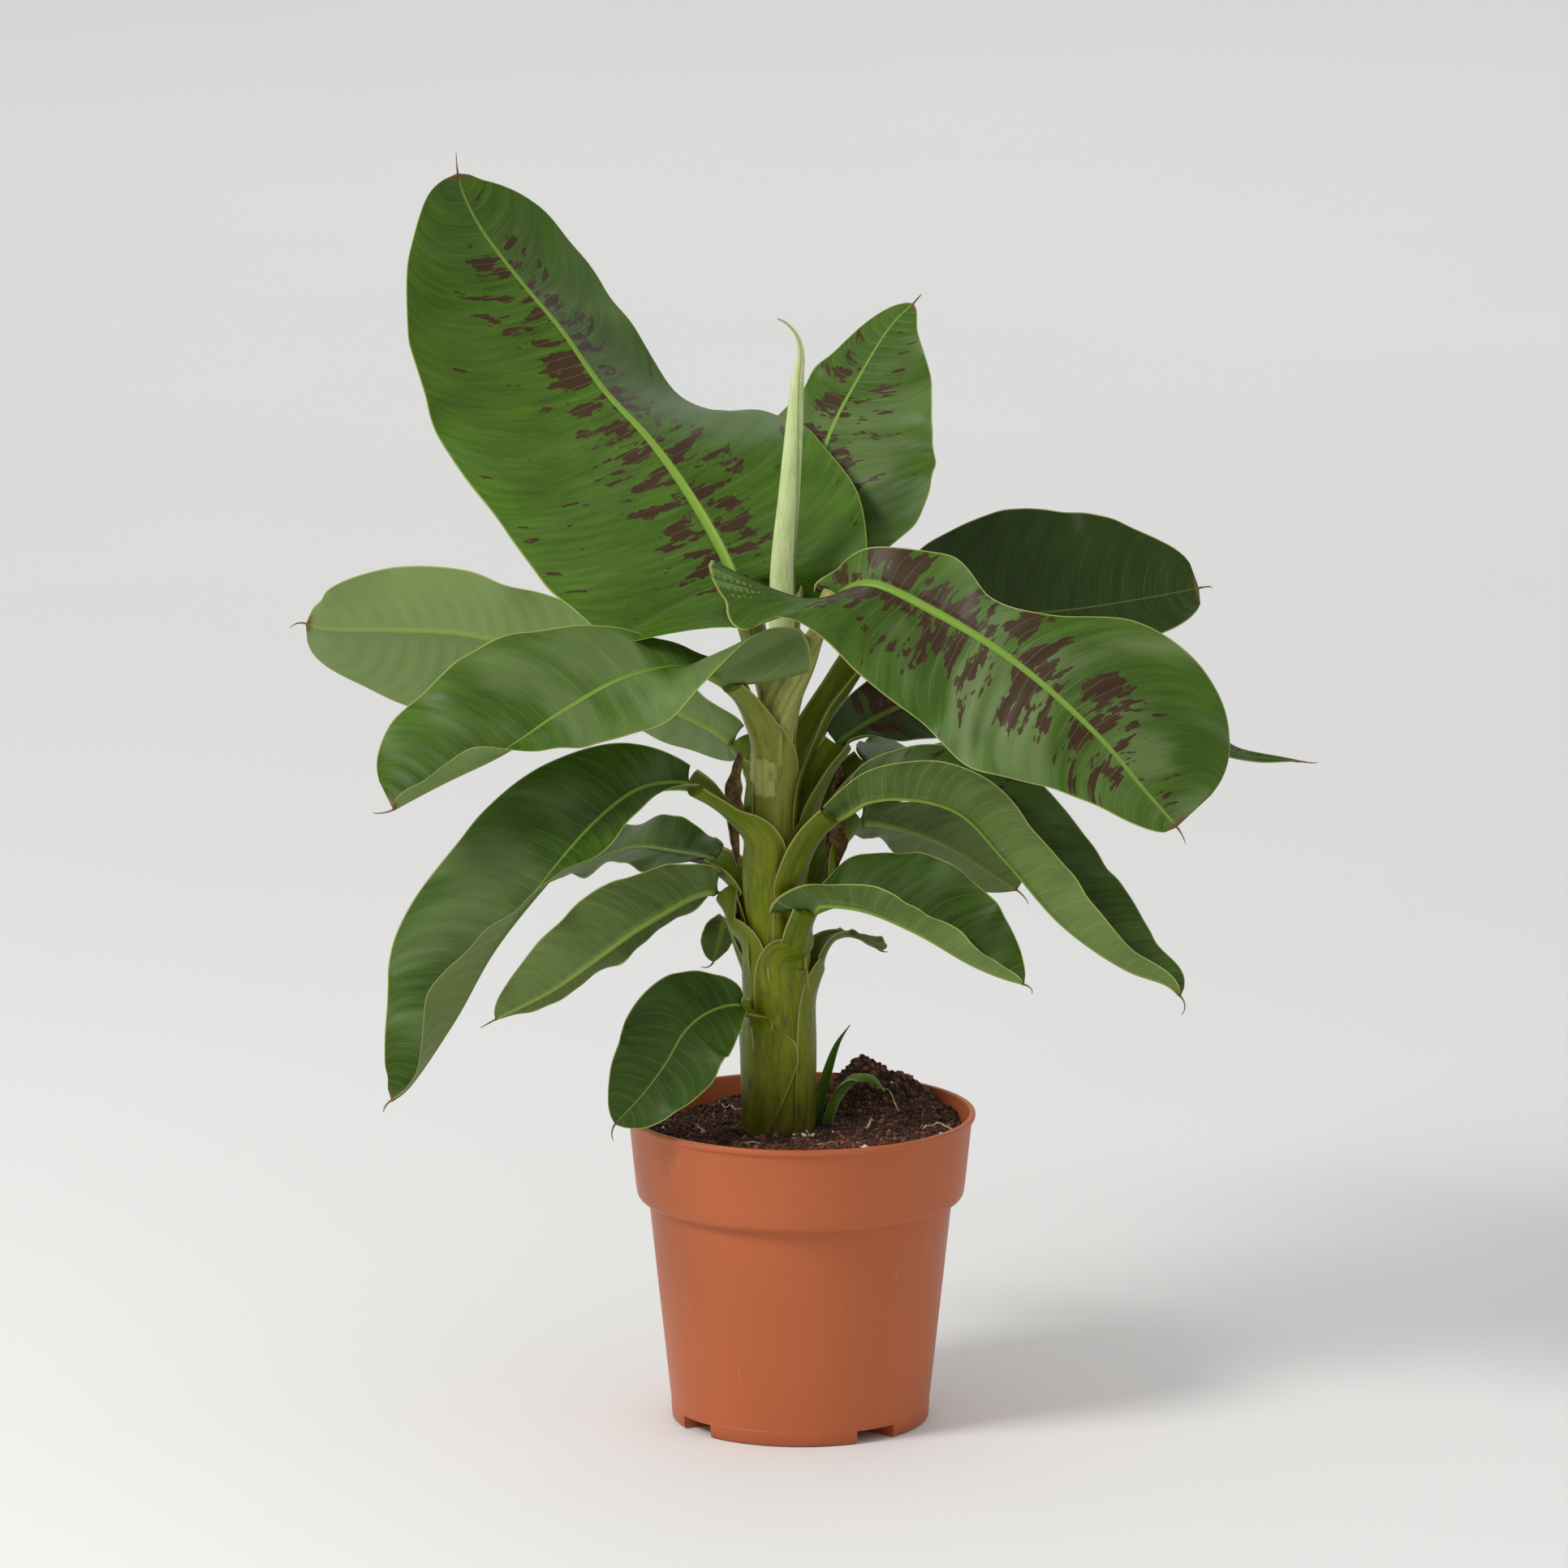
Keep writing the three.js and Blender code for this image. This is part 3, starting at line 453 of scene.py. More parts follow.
def piece(name, sheet, materials, nodes, sharp=None):
    """A mesh object made from a sheet, in metres, riding on the plant in place of its CAD nodes."""
    mesh = bpy.data.meshes.new(name)
    faces = sheet.faces
    sides = np.full(len(faces), faces.shape[1])
    if faces.shape[1] == 4:
        sides[faces[:, 2] == faces[:, 3]] = 3
    loops = np.concatenate([[0], np.cumsum(sides)[:-1]])
    keep = np.arange(faces.shape[1])[None, :] < sides[:, None]
    mesh.vertices.add(len(sheet.points))
    mesh.vertices.foreach_set("co", (sheet.points * MM).ravel())
    mesh.loops.add(int(sides.sum()))
    mesh.loops.foreach_set("vertex_index", faces[keep])
    mesh.polygons.add(len(faces))
    mesh.polygons.foreach_set("loop_start", loops)
    mesh.polygons.foreach_set("material_index", sheet.material)
    mesh.polygons.foreach_set("use_smooth", np.ones(len(faces), bool))
    for key, value in sheet.values.items():
        kind = "FLOAT_VECTOR" if value.shape[1] == 3 else "FLOAT"
        layer = mesh.attributes.new(key, kind, "POINT")
        layer.data.foreach_set("vector" if value.shape[1] == 3 else "value", value.ravel())
    mesh.update(calc_edges=True)
    mesh.validate()
    for material in materials:
        mesh.materials.append(material)
    if sharp is not None:
        mesh.set_sharp_from_angle(angle=math.radians(sharp))
    thing = placed(name, mesh)
    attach(thing, "root")
    if nodes:
        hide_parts(*nodes)


# ---------------------------------------------------------------- leaves


def leaf_line(leaf):
    """The line of a leaf from its root to its tip, the share of it that is stalk, and its level side."""
    whole = line_through(leaf["stalk"] + leaf["rib"])
    base = np.asarray(leaf["rib"][0], float)
    at = np.argmin(np.linalg.norm(whole - base, axis=1))
    heading = np.asarray(leaf["rib"][-1], float) - base
    heading[2] = 0
    heading = unit(heading)
    across = np.array([heading[1], -heading[0], 0])
    return whole, at / (len(whole) - 1), across


def frames(line, share, across, roll):
    """Point, tangent, side and upper normal along a line. The side is the level one, turned about the line by the
    roll in degrees."""
    tangents = unit(np.gradient(line, axis=0))
    point, along = read_line(line, share), unit(read_line(tangents, share))
    level = unit(across - (along @ across)[..., None] * along)
    up = np.cross(level, along)
    a = np.radians(roll)[..., None]
    return point, along, level * np.cos(a) + up * np.sin(a), up * np.cos(a) - level * np.sin(a)


def outline(leaf, s, k):
    """Share of the full half width at s: a power of a quarter circle on each side of the widest place, and not less
    than the leaf's open share before it."""
    base, tip = leaf["ends"]
    w = leaf["widest"]
    off = np.where(s < w, (w - s) / w, (s - w) / (1 - w))
    share = np.maximum(1 - off * off, 0) ** np.where(s < w, base, tip)
    return np.where(s < w, leaf["open"][k] + (1 - leaf["open"][k]) * share, share)


def blade(leaf, seed):
    """A leaf blade: at s along the midrib and r out from it, each half leaves the midrib at its fold angle and turns
    by its curl on the way, like a strip bent to an arc, and waves rise towards its margin. The upper and lower faces
    stand half the thickness off that surface. The upper one has a channel over the midrib and the lower one a ridge
    under it, both shaped as bells across. Small swells follow the side veins."""
    line, stalk_share, across = leaf_line(leaf)
    length = (1 - stalk_share) * len(line)
    rows = int(np.clip(length / 1.7, 60, 230))
    s = np.linspace(0, 1, rows)
    point, along, side, up = frames(line, stalk_share + s * (1 - stalk_share), across, track(leaf["roll"], s))
    out_steps = np.concatenate([np.linspace(0, 0.13, 7), np.linspace(0.16, 0.94, 22), [0.965, 0.985, 1]])
    chance = np.random.default_rng(seed)
    widest_rib = 3.8 * leaf["midrib"]
    halves = []
    for k, sign in ((0, -1), (1, 1)):
        r = out_steps[None, :]
        t = s[:, None]
        shape = outline(leaf, t, k)
        half = leaf["half"][k] * track(leaf["spread"][k], t) * shape
        mix = 1 - smoothstep(0, leaf["neck"][k], t)
        neck = STALK_REACH * STALK_RADIUS * leaf["stem"][2] * mix
        half = np.sqrt(half**2 + neck**2 + 0.2)
        fold = np.radians(track(leaf["fold"][k], t)) * (1 - mix) + 0.07 * mix
        curl = np.radians(track(leaf["curl"][k], t)) * (1 - mix) + (STALK_REACH - 0.07) * mix
        curl = np.where(np.abs(curl) < 1e-4, 1e-4, curl)
        bend = fold + curl * r
        out = half / curl * (np.sin(bend) - np.sin(fold))
        rise = half / curl * (np.cos(fold) - np.cos(bend))
        height, count, phase = leaf["wave"]
        wave = height * np.sin(2 * np.pi * (count * t + phase + 0.3 * k))
        for order in range(1, 4):
            more = chance.uniform(0.6, 1.0) * 0.42 * height / order
            wave = wave + more * np.sin(2 * np.pi * ((count * (1 + 0.83 * order)) * t + chance.uniform(0, 1)))
        wave = wave * r**2.2 * shape
        vein_place = t * length - half * (0.22 * r + 0.38 * r**3) * (0.35 + 0.9 * t)
        inner = smoothstep(0.05, 0.25, r) * (1 - smoothstep(0.85, 1, r))
        swell = 0.28 * np.sin(2 * np.pi * vein_place / 13 + 2 * np.sin(vein_place / 31)) * inner
        swell = swell * np.minimum(half / 40, 1)
        swell = swell + 0.9 * grain(vein_place + 400 * k, half * r, 38, seed) * inner * np.minimum(half / 60, 1)
        back = leaf["lobe"][k] * r**1.5 * (1 - t) ** 5
        ear = np.array(leaf["ear"][k], float)
        pull = np.stack([np.interp(s, ear[:, 0], ear[:, i]) for i in (1, 2, 3)], 1)
        pull = np.stack([softened(p, 4) for p in pull.T], 1)
        face_up, face_side = np.cos(bend), -sign * np.sin(bend)
        lift = wave + swell
        base = (
            point[:, None]
            + (sign * out)[..., None] * side[:, None]
            + rise[..., None] * up[:, None]
            - back[..., None] * along[:, None]
            + (r**1.5)[..., None] * pull[:, None]
        )
        face = face_up[..., None] * up[:, None] + face_side[..., None] * side[:, None]
        x = half * r
        wide = lambda values: np.stack([np.broadcast_to(a, x.shape) for a in values], -1)
        rib = widest_rib * (1 - 0.75 * t) + 0.15
        thick = BLADE_THICKNESS / 2 * (1 - 0.6 * r**2)
        bell = lambda at, wide: np.exp(-(((x - at) / wide) ** 2))
        taper = (1 - 0.85 * t) * leaf["stem"][2] / 5
        groove = taper * (0.4 + 0.6 * leaf["midrib"])
        upper = thick + lift + (1 - mix) * groove * (0.9 * bell(rib * 0.95, rib * 0.45) - 1.3 * bell(0, rib * 0.6))
        lower = -thick + lift - taper * RIB_DEPTH * bell(0, rib * 0.95)
        place, edge = wide((vein_place / 10, sign * x / 10, t)), wide((rib / 10, (1 - r) * half, k))
        halves.append((base + upper[..., None] * face, base + lower[..., None] * face, place, edge))
    left, right = halves
    top, under, place, edge = (np.concatenate([a[:, :0:-1], b], 1) for a, b in zip(left, right))
    strip, cols = 2 * (rows - 1), top.shape[1]
    grid = (rows - 1) * (cols - 1)
    material = np.repeat([0, 1, 0, 1], [grid, grid, strip, 2 * (cols - 1)])
    values = {"vein_place": np.moveaxis(place, -1, 0), "leaf_edge": np.moveaxis(edge, -1, 0)}
    return shell(top, under, False, material, **values), (point[-1], along[-1], up[-1], side[-1])


def thread(start, along, up, side, length, radius, seed):
    """A dried thread: a tapering tube of round section along a line that turns by a growing angle, up and to one
    side."""
    chance = np.random.default_rng(seed)
    turn_up, turn_side = chance.uniform(-2.2, 1.2), chance.uniform(-1.6, 1.6)
    t = np.linspace(0, 1, 14)
    a, b = turn_up * t**1.3, turn_side * t
    heading = unit(
        (np.cos(a) * np.cos(b))[:, None] * along + np.sin(a)[:, None] * up + (np.cos(a) * np.sin(b))[:, None] * side
    )
    line = start - along * 1.5 + np.concatenate([[np.zeros(3)], np.cumsum(heading[:-1], 0)]) * (length / 13)
    return tube(line, radius * (1 - 0.75 * t), 6, side)


def tube(line, radius, sides, hint):
    """A closed tube of round section: rings square to the line, each end closed to a point."""
    along = unit(np.gradient(line, axis=0))
    a = unit(np.cross(along, np.broadcast_to(hint, along.shape) + 1e-3))
    b = np.cross(along, a)
    angle = np.linspace(0, 2 * np.pi, sides, endpoint=False)
    radius = np.broadcast_to(radius, len(line)).copy()
    ring = np.cos(angle)[None, :, None] * a[:, None] + np.sin(angle)[None, :, None] * b[:, None]
    points = line[:, None] + radius[:, None, None] * ring
    caps = np.stack([line[0] - along[0] * radius[0] * 0.5, line[-1] + along[-1] * radius[-1] * 0.5])
    share = np.repeat(np.linspace(0, 1, len(line)), sides)
    points = np.concatenate([points.reshape(-1, 3), caps])
    return Sheet(points, capped_faces(len(line), sides), 0, {"along": np.concatenate([share, [0, 1]])})


def stem_at(z):
    """Centre and mean radius of the pseudostem at a height."""
    rows = np.asarray(STEM, float)
    x = np.interp(z, rows[:, 2], rows[:, 0])
    radius = np.interp(z, rows[:, 2], rows[:, 3:].mean(1))
    return x, radius


def stalk(leaf):
    """A leaf's sheath and stalk as one channel, swept along the line of its back. Its section is a crescent: an outer
    arc and an inner one that meet at the two margins. At the foot the arc has the pseudostem's radius and wraps round
    it, and where it leaves it closes in to the narrow stalk. The wrap gives how far each half reaches, in degrees, at
    distances from the place where the stalk leaves the pseudostem."""
    line, stalk_share, across = leaf_line(leaf)
    azimuth = math.radians(leaf["azimuth"])
    out = np.array([math.cos(azimuth), math.sin(azimuth), 0])
    leave = leaf["leave"]
    length = leave - SHEATH_FOOT
    layer = SHEATH_STEP * (10 - sum(other["leave"] < leave for other in LEAVES))
    surface = []
    for z in np.linspace(SHEATH_FOOT, leave, 7):
        x, radius = stem_at(z)
        surface.append(np.array([x, 0, z]) + out * (radius + layer - SHEATH_SINK * (leave - z)))
    share = np.linspace(0, 1, 5)[1:]
    point, along, side, up = frames(line, stalk_share * share, across, 0 * share)
    keep = point[:, 2] > leave + 6
    under = (RIB_DEPTH + 0.3) * leaf["stem"][2] / 5
    middle = line_through([*surface, *(point - under * up)[keep]], soften=9)
    end = len(middle) - length
    at = np.concatenate([np.linspace(-length, -60, max(int((length - 60) / 5), 3))[:-1], np.linspace(-60, end, 90)])
    t = (at + length) / len(middle)
    turn = smoothstep(-10, end, at)[:, None]
    hint = unit(np.cross(out, [0, 0, 1.0]) * (1 - turn) + across * turn)
    tangents = unit(np.gradient(middle, axis=0))
    point, along = read_line(middle, t), unit(read_line(tangents, t))
    side = unit(hint - np.sum(along * hint, 1, keepdims=True) * along)
    up = np.cross(side, along)
    roll = np.radians(leaf["roll"][0] * smoothstep(0.35 * end, end, at))[:, None]
    side, up = side * np.cos(roll) + up * np.sin(roll), up * np.cos(roll) - side * np.sin(roll)
    stem_radius = stem_at(np.clip(point[:, 2], 150, 460))[1] + layer + SHEATH_SINK * np.minimum(at, 0)
    narrow = STALK_RADIUS * leaf["stem"][2]
    closed = smoothstep(-15, 1.05 * end, at)
    radius = stem_radius * (1 - closed) + narrow * closed
    wrap = np.array(leaf["wrap"], float)
    reach = [np.interp(at, [*wrap[:, 0], end], [*wrap[:, i], STALK_WRAP]) for i in (1, 2)]
    reach = [softened(a, 3)[:, None] for a in reach]
    v = np.linspace(-1, 1, 41)[None, :]
    reach = np.radians(np.where(v < 0, *reach))
    angle = reach * v
    keel = np.interp(at, [-length, 0, 0.5 * end, end], [0.6, 1.6, 4.6, under + 0.3])[:, None]
    thick = keel * (1 - np.abs(v) ** 2.4) + 0.6
    ray = np.sin(angle)[..., None] * side[:, None] - np.cos(angle)[..., None] * up[:, None]
    world = azimuth - angle
    ripple = (0.35 * np.sin(7 * world) + 0.25 * np.sin(13 * world + 1)) * (1 - closed[:, None])
    flare = 1.6 * np.abs(v) ** 8 * np.exp(-((at - 4) / 22) ** 2)[:, None]
    centre = (point + radius[:, None] * up)[:, None]
    reached = radius[:, None] + ripple + flare
    outer = centre + reached[..., None] * ray
    inner = centre + np.maximum(reached - thick, 0.25)[..., None] * ray
    arc = radius[:, None] * angle / 10
    edge = (1 - np.abs(v)) * reach * radius[:, None]
    place, margin = (arc, at[:, None] / 10, closed[:, None]), (edge, np.abs(v), leaf["pale"])
    return shell(outer, inner, True, stalk_place=place, stalk_edge=margin)


def pseudostem():
    """The stem's core: oval sections along its line, with shallow ridges from two sine waves that wind up it, drawn
    in under the sheaths and swelling by a bell at the foot."""
    rows, sides = np.asarray(STEM, float), 160
    z = np.linspace(rows[0, 2], rows[-1, 2], 120)[:, None]
    x, y, half_x, half_y = (np.interp(z, rows[:, 2], rows[:, k]) for k in (0, 1, 3, 4))
    angle = np.linspace(0, 2 * np.pi, sides, endpoint=False)[None, :]
    ridges = 0.5 * np.sin(5 * angle + z / 60) + 0.35 * np.sin(11 * angle - z / 45 + 1)
    ridges = ridges - 3.6 * (1 - smoothstep(420, 445, z)) + 1.2 * np.exp(-((z - 182) / 12) ** 2)
    points = [x + (half_x + ridges) * np.cos(angle), y + (half_y + ridges) * np.sin(angle), z]
    points = np.stack(np.broadcast_arrays(*points), -1).reshape(-1, 3)
    ends = [[x[0, 0], 0, z[0, 0]], [x[-1, 0], 0, z[-1, 0] + 2]]
    place = np.stack(np.broadcast_arrays(half_x * angle / 10, z / 10, 0), -1).reshape(-1, 3)
    place = np.concatenate([place, [[0, z[0, 0] / 10, 0], [0, 48, 0]]])
    edge = np.full((len(place), 3), 9.0)
    edge[:, 2] = 0.85 * smoothstep(41.5, 43, place[:, 1])
    values = {"stalk_place": place, "stalk_edge": edge}
    return Sheet(np.concatenate([points, ends]), capped_faces(len(z), sides), 0, values)


def rolled_leaf():
    """The young leaf: a sheet rolled a little more than once round, as a spiral section whose radius grows with the
    angle, along a line that ends in a curled thread. The loose edge winds slowly round as it goes up."""
    line = line_through(ROLLED, soften=4)
    t = np.linspace(0, 1, 190)
    point, along, side, up = frames(line, t, np.array([1.0, 0, 0]), 0 * t)
    radius = np.interp(point[:, 2], *zip(*ROLLED_RADIUS))
    radius = np.where(t > 0.93, np.interp(t, [0.93, 1], [1.3, 0.3]), radius)[:, None]
    turn = np.linspace(0, 1, 72)[None, :]
    angle = np.radians(-150) + 2.6 * t[:, None] + turn * np.radians(ROLLED_TURN)
    spiral = radius * (0.86 + 0.14 * turn) + 0.25 * np.sin(angle * 3)
    ray = np.cos(angle)[..., None] * side[:, None] + np.sin(angle)[..., None] * up[:, None]
    outer = point[:, None] + spiral[..., None] * ray
    inner = point[:, None] + (spiral - 0.5)[..., None] * ray
    place = (spiral * angle / 10, t[:, None] * 26, (1 - turn) * radius * np.radians(ROLLED_TURN))
    return shell(outer, inner, True, stalk_place=place)


def shoot(points, widths, fold, seed):
    """A side shoot's leaf: a narrow V-shaped strip along a line, whose two halves rise from the middle by the fold
    angle, with a thickness."""
    line = line_through(points, soften=3)
    t = np.linspace(0, 1, 50)
    point, along, side, up = frames(line, t, np.array([1.0, 0.35, 0]), 25 * np.sin(seed + 3 * t))
    half = track(widths, t)[:, None]
    t, up = t[:, None], up[:, None]
    v = np.linspace(-1, 1, 13)[None, :]
    a = math.radians(fold)
    base = point[:, None] + (half * v * math.cos(a))[..., None] * side[:, None]
    base = base + (half * np.abs(v) ** 1.4 * math.sin(a))[..., None] * up
    thick = (0.55 * (1 - 0.6 * v**2) * (1 - 0.6 * t))[..., None] * up
    place, edge = (half * v / 10, t * 5, 1), ((1 - np.abs(v)) * half * 3, np.abs(v), 0)
    return shell(base + thick, base - thick, stalk_place=place, stalk_edge=edge)


def dry_scrap(points, widths, turn, seed):
    """A dead scrap of sheath: a thin strip along a line, curled across to an arc, with crumpled heights of noise."""
    line = line_through(points, soften=3)
    t = np.linspace(0, 1, 60)
    point, along, side, up = frames(line, t, np.array([0.9, 0.45, 0]), turn * t)
    half = track(widths, t)[:, None]
    v = np.linspace(-1, 1, 17)[None, :]
    arc = v * 1.9
    down, out = t[:, None] * 60 + 0 * v, half * v
    crumple = 1.6 * grain(down, out, 7, seed) + 0.7 * grain(down, out, 2.6, seed + 1)
    half = half * (1 + 0.25 * grain(t * 60, 0 * t, 6, seed + 2)[:, None])
    base = point[:, None] + (half * np.sin(arc) / 1.3)[..., None] * side[:, None]
    base = base + (half * (1 - np.cos(arc)) / 1.6 + crumple)[..., None] * up[:, None]
    thick = 0.3 * up[:, None]
    return shell(base + thick, base - thick)


# ---------------------------------------------------------------- pot and compost


def rounded(points, radii):
    """A profile with each inner corner replaced by a curve that leaves and meets its two sides at the given distance,
    as a parabola."""
    p = np.asarray(points, float)
    out = [p[:1]]
    t = np.linspace(0, 1, 7)[:, None]
    for i in range(1, len(p) - 1):
        if radii[i] == 0:
            out.append(p[i : i + 1])
            continue
        a = p[i] + unit(p[i - 1] - p[i]) * radii[i]
        b = p[i] + unit(p[i + 1] - p[i]) * radii[i]
        out.append(a * (1 - t) ** 2 + 2 * p[i] * t * (1 - t) + b * t**2)
    out.append(p[-1:])
    return np.concatenate(out)


def grow_pot():
    """The pot: a profile of radius and height turned about the axis. Where an angle falls in one of the four
    channels, the points of the foot outside the channel's inner radius are lifted to the channel's height."""
    foot, band, rim, top = FOOT_RADIUS, BAND_RADIUS, RIM_RADIUS, POT_HEIGHT
    profile = [
        (0, 0, 0), (CHANNEL_INNER, 0, 0), (CHANNEL_INNER + 0.3, 0, 0), (60, 0, 0), (foot, 0, 2.4),
        (foot + 0.55, 8.3, 0), (foot + 0.62, 9.2, 0.2), (foot + 0.3, 9.5, 0.2), (foot + 2, 24, 0),
        (BODY_TOP_RADIUS, BAND_FOOT - 0.5, 1.2), (band - 0.7, BAND_FOOT + 1.2, 3.6), (band + 0.4, BAND_FOOT + 9, 0.4),
        (rim - 2.0, top - 4.2, 1.0), (rim, top - 3.4, 1.1), (rim + 0.1, top, 1.5), (rim - 3.4, top + 0.2, 1.3),
        (band - WALL, BAND_FOOT + 6, 2), (BODY_TOP_RADIUS - WALL, BAND_FOOT, 2), (foot - WALL, 12, 2), (0, 11.5, 0),
    ]
    line = rounded([(r, 0, z) for r, z, _ in profile], [c for _, _, c in profile])
    long = []
    for a, b in zip(line[:-1], line[1:]):
        steps = max(int(np.linalg.norm(b - a) / 6), 1)
        long.append(a + (b - a) * np.linspace(0, 1, steps, endpoint=False)[:, None])
    line = np.concatenate([*long, line[-1:]])
    half = CHANNEL_DEG / 2
    centres = np.array([FIRST_CHANNEL_DEG - 90 + 90 * k for k in range(4)])
    angles = np.linspace(-180, 180, 361)[:-1] + 0.0013
    sides = np.concatenate([centres + sign * (half + off) for sign in (-1, 1) for off in (-0.5, -0.1, 0.1, 0.5)])
    angles = np.unique(np.concatenate([angles, (sides + 180) % 360 - 180]))
    gap = np.abs((angles[:, None] - centres + 180) % 360 - 180).min(1)
    lift = CHANNEL_HEIGHT * (gap < half)
    a = np.radians(angles)[:, None]
    r, z = line[None, :, 0], line[None, :, 2]
    inside = np.arange(len(line))[None, :] > len(line) * 0.72
    raised = np.where((r > CHANNEL_INNER + 0.1) & ~inside, np.maximum(z, lift[:, None]), z)
    points = np.stack([r * np.cos(a), r * np.sin(a), raised + 0 * a], -1)
    place = np.stack([a * 90 / 10 + 0 * r, z / 10 + 0 * a, inside + 0 * a], -1)
    faces = grid_faces(len(angles), len(line), round_rows=True)
    return Sheet(points, faces[:, ::-1], 0, {"pot_place": place})


def soil_height(x, y):
    """Height of the compost: bells for a peaked heap at the back right, a hollow at the back left and two low rises,
    and lumps of noise in four sizes, half as high by the stem."""
    mound = lambda cx, cy, spread: np.exp(-((x - cx) ** 2 + (y - cy) ** 2) / (2 * spread**2))
    broad = SOIL_LEVEL + 20 * mound(44, 60, 28) + 9 * mound(38, 64, 8) - 6 * mound(-52, 50, 28)
    broad = broad + 4 * mound(60, -50, 40) + 3 * mound(-30, -75, 40)
    near_stem = mound(-13, 0, 26)
    lumps = 2.4 * grain(x, y, 16, 3) + 1.9 * grain(x, y, 8, 4) + 1.2 * grain(x, y, 3.6, 5) + 0.5 * grain(x, y, 1.6, 6)
    return broad + lumps * (1 - 0.5 * near_stem)


def compost():
    """The compost: a disc of rings and angles at the soil's height, drawn down at the wall, over a flat foot."""
    rings, count = 150, 420
    share = np.linspace(0, 1, rings)[:, None]
    angle = np.linspace(0, 2 * np.pi, count, endpoint=False)[None, :]
    r = SOIL_EDGE * share
    x, y = r * np.cos(angle), r * np.sin(angle)
    z = soil_height(x, y) - 3 * smoothstep(0.97, 1, share)
    top = np.stack([x, y, z], -1)
    lower = np.stack([x[-1] * 0.94, y[-1] * 0.94, np.full(count, SOIL_FLOOR)], -1)[None]
    points = np.concatenate([top, lower]).reshape(-1, 3)
    faces = grid_faces(rings + 1, count, round_cols=True)
    points = np.concatenate([points, [[0, 0, SOIL_FLOOR]]])
    k = np.arange(count)
    on = (k + 1) % count
    base = rings * count
    cap = np.stack([np.full(count, len(points) - 1), base + on, base + k, base + k], 1)
    return Sheet(points, np.concatenate([faces[:, ::-1], cap]))


def icosahedron():
    """The twelve corners and twenty faces of an icosahedron of radius 1."""
    g = (1 + 5**0.5) / 2
    corners = []
    for a in (-1, 1):
        for b in (-g, g):
            corners += [(0, a, b), (a, b, 0), (b, 0, a)]
    p = np.array(corners, float)
    near = np.linalg.norm(p[:, None] - p[None], axis=2) < 2.1
    faces = []
    for i in range(12):
        for j in range(i + 1, 12):
            for k in range(j + 1, 12):
                if near[i, j] and near[j, k] and near[i, k]:
                    turn = np.dot(np.cross(p[j] - p[i], p[k] - p[i]), p[i]) > 0
                    faces.append((i, j, k) if turn else (i, k, j))
    return unit(p), np.array(faces)


def crumbs(count, small, large, flat, seed, where=None):
    """Loose crumbs lying on the compost: copies of one twenty-sided lump, each with its own place, size, turn and
    dented corners, and one random tone each."""
    chance = np.random.default_rng(seed)
    p, faces = icosahedron()
    r = 98 * np.sqrt(chance.uniform(0.02, 1, count))
    a = chance.uniform(0, 2 * np.pi, count)
    x, y = r * np.cos(a), r * np.sin(a)
    if where is not None:
        x, y = where[0] + chance.normal(0, where[2], count), where[1] + chance.normal(0, where[2], count)
    size = small * (large / small) ** (chance.uniform(0, 1, count) ** 2.2)
    clear = (np.hypot(x + 13, y) > 24) & (np.hypot(x, y) < 98.5 - size)
    x, y, size = x[clear], y[clear], size[clear]
    n = len(x)
    q = unit(chance.normal(0, 1, (n, 4)))
    w, i, j, k = q.T
    spin = np.stack([
        np.stack([1 - 2 * (j * j + k * k), 2 * (i * j - k * w), 2 * (i * k + j * w)], -1),
        np.stack([2 * (i * j + k * w), 1 - 2 * (i * i + k * k), 2 * (j * k - i * w)], -1),
        np.stack([2 * (i * k - j * w), 2 * (j * k + i * w), 1 - 2 * (i * i + j * j)], -1),
    ], 1)
    shape = p[None] * (1 + chance.uniform(-0.3, 0.3, (n, 12, 1))) * chance.uniform([0.6, 0.6, flat], 1.1, (n, 1, 3))
    turned = np.einsum("nij,nkj->nki", spin, shape) * size[:, None, None]
    centre = np.stack([x, y, soil_height(x, y) + size * 0.25], -1)
    points = turned + centre[:, None]
    all_faces = faces[None] + 12 * np.arange(n)[:, None, None]
    tone = np.repeat(chance.uniform(0, 1, n), 12)
    return Sheet(points.reshape(-1, 3), all_faces.reshape(-1, 3), 0, {"tone": tone})


def fibre(start, heading, length, radius, bend, seed):
    """One root fibre: a thin tube along a line over the compost that turns steadily by the bend, with a sine wave on
    its heading, and arches by half a sine wave."""
    chance = np.random.default_rng(seed)
    t = np.linspace(0, 1, 14)
    a = math.radians(heading) + bend * t + 0.25 * np.sin(7 * t + seed)
    step = length / 13
    x = start[0] + np.concatenate([[0], np.cumsum(np.cos(a[:-1]))]) * step
    y = start[1] + np.concatenate([[0], np.cumsum(np.sin(a[:-1]))]) * step
    z = soil_height(x, y) + radius + start[2] * np.sin(np.pi * t) + chance.uniform(0.2, 1.0)
    return tube(np.stack([x, y, z], -1), radius * (1 - 0.5 * t), 6, np.array([0, 0, 1.0]))


# ---------------------------------------------------------------- finishes


def colour(red, green, blue):
    """A linear colour from screen values of 0 to 255."""
    c = np.array([red, green, blue]) / 255
    c = np.where(c < 0.04045, c / 12.92, ((c + 0.055) / 1.055) ** 2.4)
    return (*map(float, c), 1.0)


class Wire:
    """A node's output. Arithmetic on it adds Math nodes."""

    def __init__(self, finish, socket):
        self.finish, self.socket = finish, socket

    def __add__(self, other):
        return self.finish.do("ADD", self, other)

    def __sub__(self, other):
        return self.finish.do("SUBTRACT", self, other)

    def __mul__(self, other):
        return self.finish.do("MULTIPLY", self, other)


